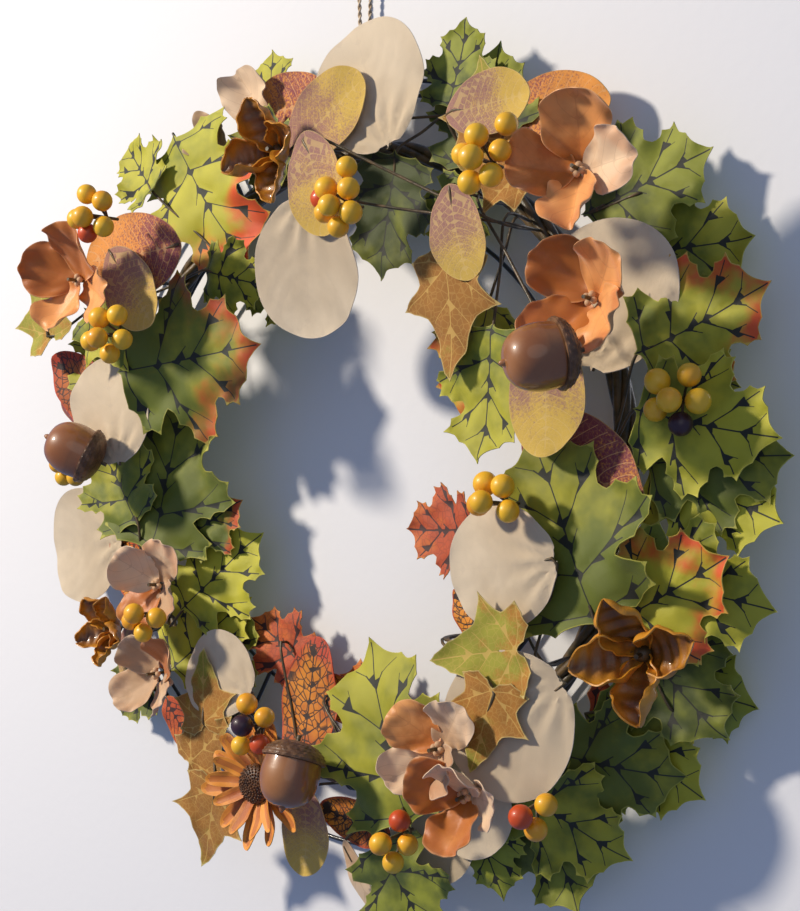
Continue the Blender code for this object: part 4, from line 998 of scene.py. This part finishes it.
def turned(pile, seat, profile, finish, sides=40, shape=None, traits=None):
    """A solid turned about its seat's Z axis; shape swells it by the angle and the place on the profile."""
    points, faces, rings = [], [], []
    for level, (radius, height) in enumerate(profile):
        ring = []
        for side in range(1 if radius == 0 else sides):
            angle = 2 * math.pi * side / sides
            grow = shape(angle, level / (len(profile) - 1)) if shape and radius else 0.0
            ring.append(len(points))
            reach = radius + grow
            points.append(seat @ Vector((reach * math.cos(angle), reach * math.sin(angle), height)))
        rings.append(ring)
    for low, high in zip(rings, rings[1:]):
        for side in range(sides):
            pair = (side, (side + 1) % sides)
            corners = [low[place % len(low)] for place in pair]
            corners += [high[place % len(high)] for place in reversed(pair)]
            faces.append(tuple(dict.fromkeys(corners)))
    pile.put([tuple(point) for point in points], faces, finish, traits)


# ---------------------------------------------------------------- the wreath's pieces


def make_twine():
    foot = -HANG_DROP + OUTER_RING_RADIUS + WIRE_RADIUS + HITCH_CLEARANCE + HITCH_WALL + 0.0003
    half = TWINE_HALF_GAP
    route = [(-half, foot), (-half, foot + 0.008), (-0.0033, -0.045), (-0.0042, -0.020), (-0.0047, -0.0065),
             (-0.0033, -0.0005), (0.0, 0.0012), (0.0033, -0.0005), (0.0047, -0.0065), (0.0042, -0.020),
             (0.0033, -0.045), (half, foot + 0.008), (half, foot)]
    line = smooth_line([(x, 0.0, z) for x, z in route], 300)
    pile = Pile()
    tube(pile, line, 0.5 * TWINE_DIAMETER, "jute", sides=10, plies=2, pitch=0.0085)
    twine = pile.build("jute_loop", "hanger", ["hanger_twine"])
    pile = Pile()
    axis = on_ring(0, OUTER_RING_RADIUS)
    steps, coil = 120, []
    for step in range(steps + 1):
        turn = 2 * math.pi * HITCH_TURNS * step / steps
        along = HITCH_REACH * (step / steps - 0.5)
        coil.append(axis + Vector((along, HITCH_RADIUS * math.sin(turn), HITCH_RADIUS * math.cos(turn))))
    tube(pile, coil, 0.00115, "jute", sides=10, plies=2, pitch=0.006)
    pile.build("jute_hitch", "hanger", ["hanger_hitch"])


def make_frame():
    pile = Pile()
    for radius in (INNER_RING_RADIUS, STEM_RING_RADIUS, OUTER_RING_RADIUS - OUTER_RING_GAP, OUTER_RING_RADIUS):
        tube(pile, [on_ring(clock, radius) for clock in np.arange(0, 360, 3)], WIRE_RADIUS, "wire", sides=12,
             closed=True)
    lift = 2 * WIRE_RADIUS - WELD_DEPTH
    reaches = np.linspace(INNER_RING_RADIUS - SPOKE_OVERRUN, OUTER_RING_RADIUS + SPOKE_OVERRUN, 24)
    for number in range(6):
        clock = 60 * (number + 0.5)
        tube(pile, [on_ring(clock, reach, lift) for reach in reaches], WIRE_RADIUS, "wire", sides=12)
    pile.build("ring_frame", "wreath", ["wire_frame"])
    pile = Pile()
    line = [on_ring(clock, STEM_RING_RADIUS, GARLAND_LIFT) for clock in np.arange(0, 360, 1.5)]
    pitch = 2 * math.pi * STEM_RING_RADIUS / 9
    tube(pile, line, GARLAND_RADIUS, "stem", sides=10, closed=True, plies=5, pitch=pitch)
    tube(pile, line, 0.62 * GARLAND_RADIUS, "stem", sides=14, closed=True)
    pile.build("bundled_stems", "wreath", ["garland_stem"])
    reach = GARLAND_RADIUS + 0.001
    for number in range(3):
        pile = Pile()
        clock = 120 * (number + 0.5)
        side = Vector((math.cos(math.radians(clock)), 0.0, -math.sin(math.radians(clock))))
        for layer in (-0.9, 0.9):
            loop = []
            for step in range(48):
                turn = 2 * math.pi * step / 48
                rear = reach - 0.0022
                middle = GARLAND_LIFT if math.cos(turn) > 0 else rear
                place = on_ring(clock, STEM_RING_RADIUS + 1.02 * reach * math.sin(turn),
                                middle + 1.02 * reach * math.cos(turn))
                loop.append(place + 0.001 * layer * side)
            tube(pile, loop, 0.0007, "wire", sides=8, closed=True)
        pile.build(f"binding_{number + 1}", "wreath", [f"binding_wire_{number + 1}"])


def stem_to(pile, foot, base, onward, radius=0.0008):
    """A thin taped stem along the back of a piece, down to its post, or a short stub where it has none."""
    rear = Vector((0.0, 0.0009, 0.0))
    start = base + 0.012 * onward + rear
    if foot is None:
        route = [start, base + rear, base - 0.006 * onward + 2 * rear]
    else:
        above = Vector((foot.x, 0.65 * base.y + 0.35 * foot.y, foot.z))
        if (above - base).length < 0.012:
            route = [start, base + rear, foot]
        else:
            route = [start, base + rear, base.lerp(above, 0.5) + rear, above, foot]
    tube(pile, smooth_line(route, 22), radius, "stem", sides=7)


def make_leaf_picks():
    serial = 0
    for node, rows in LEAF_PICKS.items():
        pile = Pile()
        foot = foot_of(node)
        for kind, hour, lane, tip_hour, size, finish in rows:
            serial += 1
            chance = np.random.default_rng(serial)
            length = LEAF_SIZES[kind][size]
            seat = leaf_frame(HOUR * hour, lane, HOUR * tip_hour, length)
            lift = settle(node, rib_points(kind, seat, length))
            blush = 0.0
            if finish.endswith("+"):
                finish, blush = finish[:-1], 1.0
            cloth_piece(pile, kind, seat, length, lift, finish, chance, blush)
            base = seat.translation - Vector((0.0, lift, 0.0))
            stem_to(pile, foot, base, seat.to_3x3().col[1])
        pile.build(node + "_cloth", "wreath", [node])


def make_blooms():
    for number, (node, (finish, florets)) in enumerate(BLOOM_PICKS.items()):
        pile = Pile()
        chance = np.random.default_rng(200 + number)
        middles = [leaf_frame(HOUR * hour, lane, HOUR * hour, 0.0) for hour, lane, _, _ in florets]
        ribs = []
        for middle, (_, _, size, turn) in zip(middles, florets):
            for petal in range(4):
                petal_frame = middle @ petal_seat(turn + 90 * petal, BLOOM_RISE)
                ribs += rib_points("petal", petal_frame, LEAF_SIZES["petal"][size])
        lift = settle(node, ribs)
        for middle, (_, _, size, turn) in zip(middles, florets):
            for petal in range(4):
                spin = turn + 90 * petal + chance.uniform(-9, 9)
                seat = middle @ petal_seat(spin, BLOOM_RISE + chance.uniform(-14, 16))
                length = LEAF_SIZES["petal"][size] * chance.uniform(0.95, 1.08)
                own = finish if chance.uniform() < 0.8 else ("beige" if finish == "peach" else "peach")
                cloth_piece(pile, "petal", seat, length, lift, own, chance, blush=chance.uniform(0, 0.5))
            lifted = Matrix.Translation((0.0, -lift, 0.0)) @ middle
            for bead in range(4):
                around = math.radians(90 * bead + 40)
                place = (0.0021 * math.cos(around), 0.0021 * math.sin(around), 0.0042)
                ball(pile, lifted @ Matrix.Translation(place), 0.0017, "beige", 0.5)
            stem_to(pile, None, lifted.translation, lifted.to_3x3().col[2].normalized(), 0.001)
        pile.build(node + "_petals", "wreath", [node])


def petal_seat(spin, rise):
    """A petal's place in its bloom: spun round the middle, raised, rolled, and set off by its root."""
    spun = Matrix.Rotation(math.radians(spin), 4, "Z") @ Matrix.Rotation(math.radians(rise), 4, "X")
    rolled = spun @ Matrix.Rotation(math.radians(PETAL_ROLL), 4, "Y")
    return rolled @ Matrix.Translation((0.0, PETAL_ROOT, 0.0))


def ball(pile, seat, radius, finish, tone=0.0, blush=0.0, dark=0.0):
    profile = [(0.0, -radius)] + [(radius * math.sin(math.pi * s / 14), -radius * math.cos(math.pi * s / 14))
                                  for s in range(1, 14)] + [(0.0, 0.97 * radius)]
    turned(pile, seat, profile, finish, sides=22, traits={"tone": tone, "blush": blush, "dark": dark})


def make_berries():
    for number, (node, (clusters, reds, darks)) in enumerate(BERRY_PICKS.items()):
        pile = Pile()
        chance = np.random.default_rng(300 + number)
        serial = 0
        frames = [leaf_frame(HOUR * hour, lane, HOUR * hour, 0.0) for hour, lane, _ in clusters]
        poles = []
        for seat, (_, _, count) in zip(frames, clusters):
            for place in berry_places(count):
                poles.append(seat @ (place * ((place.length + BERRY_RADIUS) / place.length)))
        lift = settle(node, poles)
        for seat, (_, _, count) in zip(frames, clusters):
            root = seat.translation - Vector((0.0, lift, 0.0))
            for place in berry_places(count):
                loose = Vector(chance.uniform(-0.0016, 0.0016, 3))
                middle = seat @ (place + loose) - Vector((0.0, lift, 0.0))
                way = (middle - root).normalized()
                bent = root.lerp(middle, 0.5) + 0.3 * loose
                tube(pile, smooth_line([root, bent, middle], 8), 0.0007, "stem", 6)
                stand = Matrix.Translation(middle) @ way.to_track_quat("Z", "Y").to_matrix().to_4x4()
                radius = BERRY_RADIUS * chance.uniform(0.94, 1.05)
                tone = chance.uniform(0.0, 0.95)
                ball(pile, stand, radius, "berry", tone, float(serial in reds), float(serial in darks))
                serial += 1
            stem_to(pile, None, root, seat.to_3x3().col[2].normalized(), 0.0009)
        pile.build(node + "_fruit", "wreath", [node])


def berry_places(count):
    """Middles of a cluster's berries: one on top, five round it, then more in the gaps below."""
    places = [Vector((0.0, 0.0, BERRY_HEIGHTS[0]))]
    for number in range(1, count):
        inner = number <= 5
        reach = BERRY_RING_RADIUS if inner else BERRY_OUTER_RADIUS
        angle = math.radians(72 * number + (0 if inner else 36))
        height = BERRY_HEIGHTS[1] if inner else BERRY_HEIGHTS[2]
        places.append(Vector((reach * math.cos(angle), reach * math.sin(angle), height)))
    return places


def cap_scales(angle, share):
    """Nine rows of scales round an acorn's cap, each set half a scale on from the last; the lip is smooth."""
    rows = 9.0 * share
    offset = 0.5 if int(rows) % 2 else 0.0
    return 0.0007 * (rows % 1.0) * abs(math.cos(13.0 * angle + math.pi * offset)) if share < 0.93 else 0.0


def make_acorns():
    cap_radius = ACORN_RADIUS + ACORN_CAP_LIP
    mouth = ACORN_STALK + ACORN_CAP_HEIGHT
    for name, (hour, lane, tip_hour, rise) in ACORN_PICKS.items():
        stand = leaf_frame(HOUR * hour, lane, HOUR * tip_hour, 0.0, rise)
        seat = stand @ Matrix.Rotation(-0.5 * math.pi, 4, "X")
        lift = settle("acorn_nut_" + name, [seat @ Vector((0.0, 0.0, mouth + ACORN_LENGTH))])
        seat = Matrix.Translation((0.0, -lift, 0.0)) @ seat
        pile = Pile()
        steps = 34
        nut = [(0.0, mouth - 0.001), (0.96 * ACORN_RADIUS, mouth + 0.0003)]
        for step in range(steps):
            turn = 0.5 * math.pi * step / steps
            height = mouth + ACORN_LENGTH * (0.25 + 0.65 * math.sin(turn))
            nut.append((ACORN_RADIUS * math.cos(turn) ** 0.7, height))
        for radius, share in ((0.0016, 0.935), (0.0008, 0.985)):
            nut.append((radius, mouth + share * ACORN_LENGTH))
        nut.append((0.0, mouth + ACORN_LENGTH))
        turned(pile, seat, nut, "acorn_nut", sides=56)
        pile.build("acorn_shell_" + name, "wreath", ["acorn_nut_" + name])
        pile = Pile()
        stalk = [seat @ Vector((0, 0, z)) for z in (0.0, 0.0015, 0.0035)]
        tube(pile, smooth_line(stalk, 6), 0.0012, "stem", 8)
        cap = [(0.0, mouth - ACORN_CAP_HEIGHT)]
        for step in range(1, 31):
            turn = 0.5 * math.pi * step / 30
            cap.append((cap_radius * math.sin(turn), mouth - ACORN_CAP_HEIGHT * math.cos(turn)))
        cap += [(0.93 * cap_radius, mouth + 0.0002), (0.0, mouth - 0.0005)]
        turned(pile, seat, cap, "acorn_cap", sides=104, shape=cap_scales)
        pile.build("acorn_cup_" + name, "wreath", ["acorn_cap_" + name])


def husk(pile, seat, length, chance):
    """A dried husk: a boat of crinkled skin, rolled at the rims and darker along the middle."""
    rows, columns = 26, 20
    points, traits = [], []
    phase = chance.uniform(0, 6.28, 4)
    for row in range(rows + 1):
        along = row / rows
        width = 0.30 * math.sin(math.pi * min(1.0, 0.06 + 0.94 * along)) ** 0.7 + 0.02
        for column in range(columns + 1):
            v = 2.0 * column / columns - 1.0
            turn = v * (1.9 + 0.35 * math.sin(5 * along + phase[0]))
            x = width * math.sin(turn) * (1.0 + 0.10 * math.sin(17 * along + phase[1] + 2 * v))
            roll = 0.8 + 0.2 * math.sin(9 * along + phase[2])
            z = 0.20 * along + 0.9 * width * (1.0 - math.cos(turn)) * roll
            z += 0.018 * math.sin(31 * along + 4 * v + phase[3]) + 0.05 * along * along
            points.append(seat @ Vector((x * length, along * length, z * length)))
            traits.append(max(0.0, 1.0 - abs(v) * 1.25))
    wide = columns + 1
    faces = [(r * wide + c, r * wide + c + 1, (r + 1) * wide + c + 1, (r + 1) * wide + c)
             for r in range(rows) for c in range(columns)]
    mesh = np.array([tuple(point) for point in points])
    normal = np.zeros_like(mesh)
    for face in faces:
        normal[list(face)] += np.cross(mesh[face[1]] - mesh[face[0]], mesh[face[3]] - mesh[face[0]])
    normal /= np.maximum(np.linalg.norm(normal, axis=1), 1e-12)[:, None]
    outer = mesh - 0.0007 * normal
    size = len(mesh)
    border = ([(r * wide, (r + 1) * wide) for r in range(rows)]
              + [((r + 1) * wide + columns, r * wide + columns) for r in range(rows)]
              + [(c + 1, c) for c in range(columns)]
              + [(rows * wide + c, rows * wide + c + 1) for c in range(columns)])
    sides = faces + [tuple(i + size for i in reversed(face)) for face in faces]
    sides += [(a, b, b + size, a + size) for a, b in border]
    pile.put(np.concatenate([mesh, outer]), sides, "husk", {"back": np.array(traits + [0.0] * size) * 0.85})


def make_husks():
    for number, (node, (hour, lane, length, turn, count)) in enumerate(HUSK_PICKS.items()):
        pile = Pile()
        chance = np.random.default_rng(400 + number)
        middle = leaf_frame(HOUR * hour, lane, HOUR * hour, 0.0)
        ribs = []
        for petal in range(count):
            ribs += rib_points("husk", middle @ petal_seat(turn + 360 * petal / count, HUSK_RISE), length)
        lift = settle(node, ribs)
        lifted = Matrix.Translation((0.0, -lift, 0.0)) @ middle
        for petal in range(count):
            spin = turn + 360 * petal / count + chance.uniform(-8, 8)
            husk(pile, lifted @ petal_seat(spin, HUSK_RISE - 10 + chance.uniform(-8, 8)), 1.1 * length, chance)
        ball(pile, lifted @ Matrix.Translation((0.0, 0.0, 0.002)), 0.0042, "stem")
        stem_to(pile, None, lifted.translation, lifted.to_3x3().col[2].normalized(), 0.0012)
        pile.build(node + "_husks", "wreath", [node])


def make_daisy():
    hour, lane, length, rays, rise = DAISY
    middle = leaf_frame(HOUR * hour, lane, HOUR * hour, 0.0)
    ribs = []
    for ray in range(rays):
        ribs += rib_points("ray", middle @ petal_seat(360 * ray / rays, rise), length)
    lift = settle("daisy_petals", ribs)
    lifted = Matrix.Translation((0.0, -lift, 0.0)) @ middle
    pile = Pile()
    chance = np.random.default_rng(500)
    for layer, (size, lean) in enumerate(((1.0, rise - 3.0), (0.86, rise + 9.0))):
        for ray in range(rays):
            spin = 360 * (ray + 0.5 * layer) / rays + chance.uniform(-6, 6)
            seat = lifted @ petal_seat(spin, lean + chance.uniform(-5, 5))
            cloth_piece(pile, "ray", seat, length * size * chance.uniform(0.92, 1.06), 0.0, "daisy", chance)
    pile.build("daisy_rays", "wreath", ["daisy_petals"])
    pile = Pile()
    floor = EYE_RADIUS * math.tan(math.radians(rise)) + 0.0013
    crown = 0.6 * EYE_RADIUS
    profile = [(0.0, floor)]
    for step in range(12):
        turn = 0.5 * math.pi * step / 12
        profile.append((EYE_RADIUS * math.cos(turn), floor + crown * math.sin(turn)))
    profile.append((0.0, floor + crown))
    turned(pile, lifted, profile, "seed", sides=40)
    for seed in range(SEEDS):
        out = math.sqrt((seed + 0.5) / SEEDS)
        turn = SEED_TURN * seed
        height = floor + crown * math.sqrt(max(0.0, 1 - out * out))
        reach = 0.97 * EYE_RADIUS * out
        spot = lifted @ Matrix.Translation((reach * math.cos(turn), reach * math.sin(turn), height))
        turned(pile, spot, [(0.0006, 0.0), (0.0005, 0.0007), (0.0, 0.0010)], "seed", sides=6)
    pile.build("daisy_seeds", "wreath", ["daisy_eye"])


make_camera()
make_twine()
make_room()
make_frame()
make_leaf_picks()
make_blooms()
make_husks()
make_daisy()
make_berries()
make_acorns()
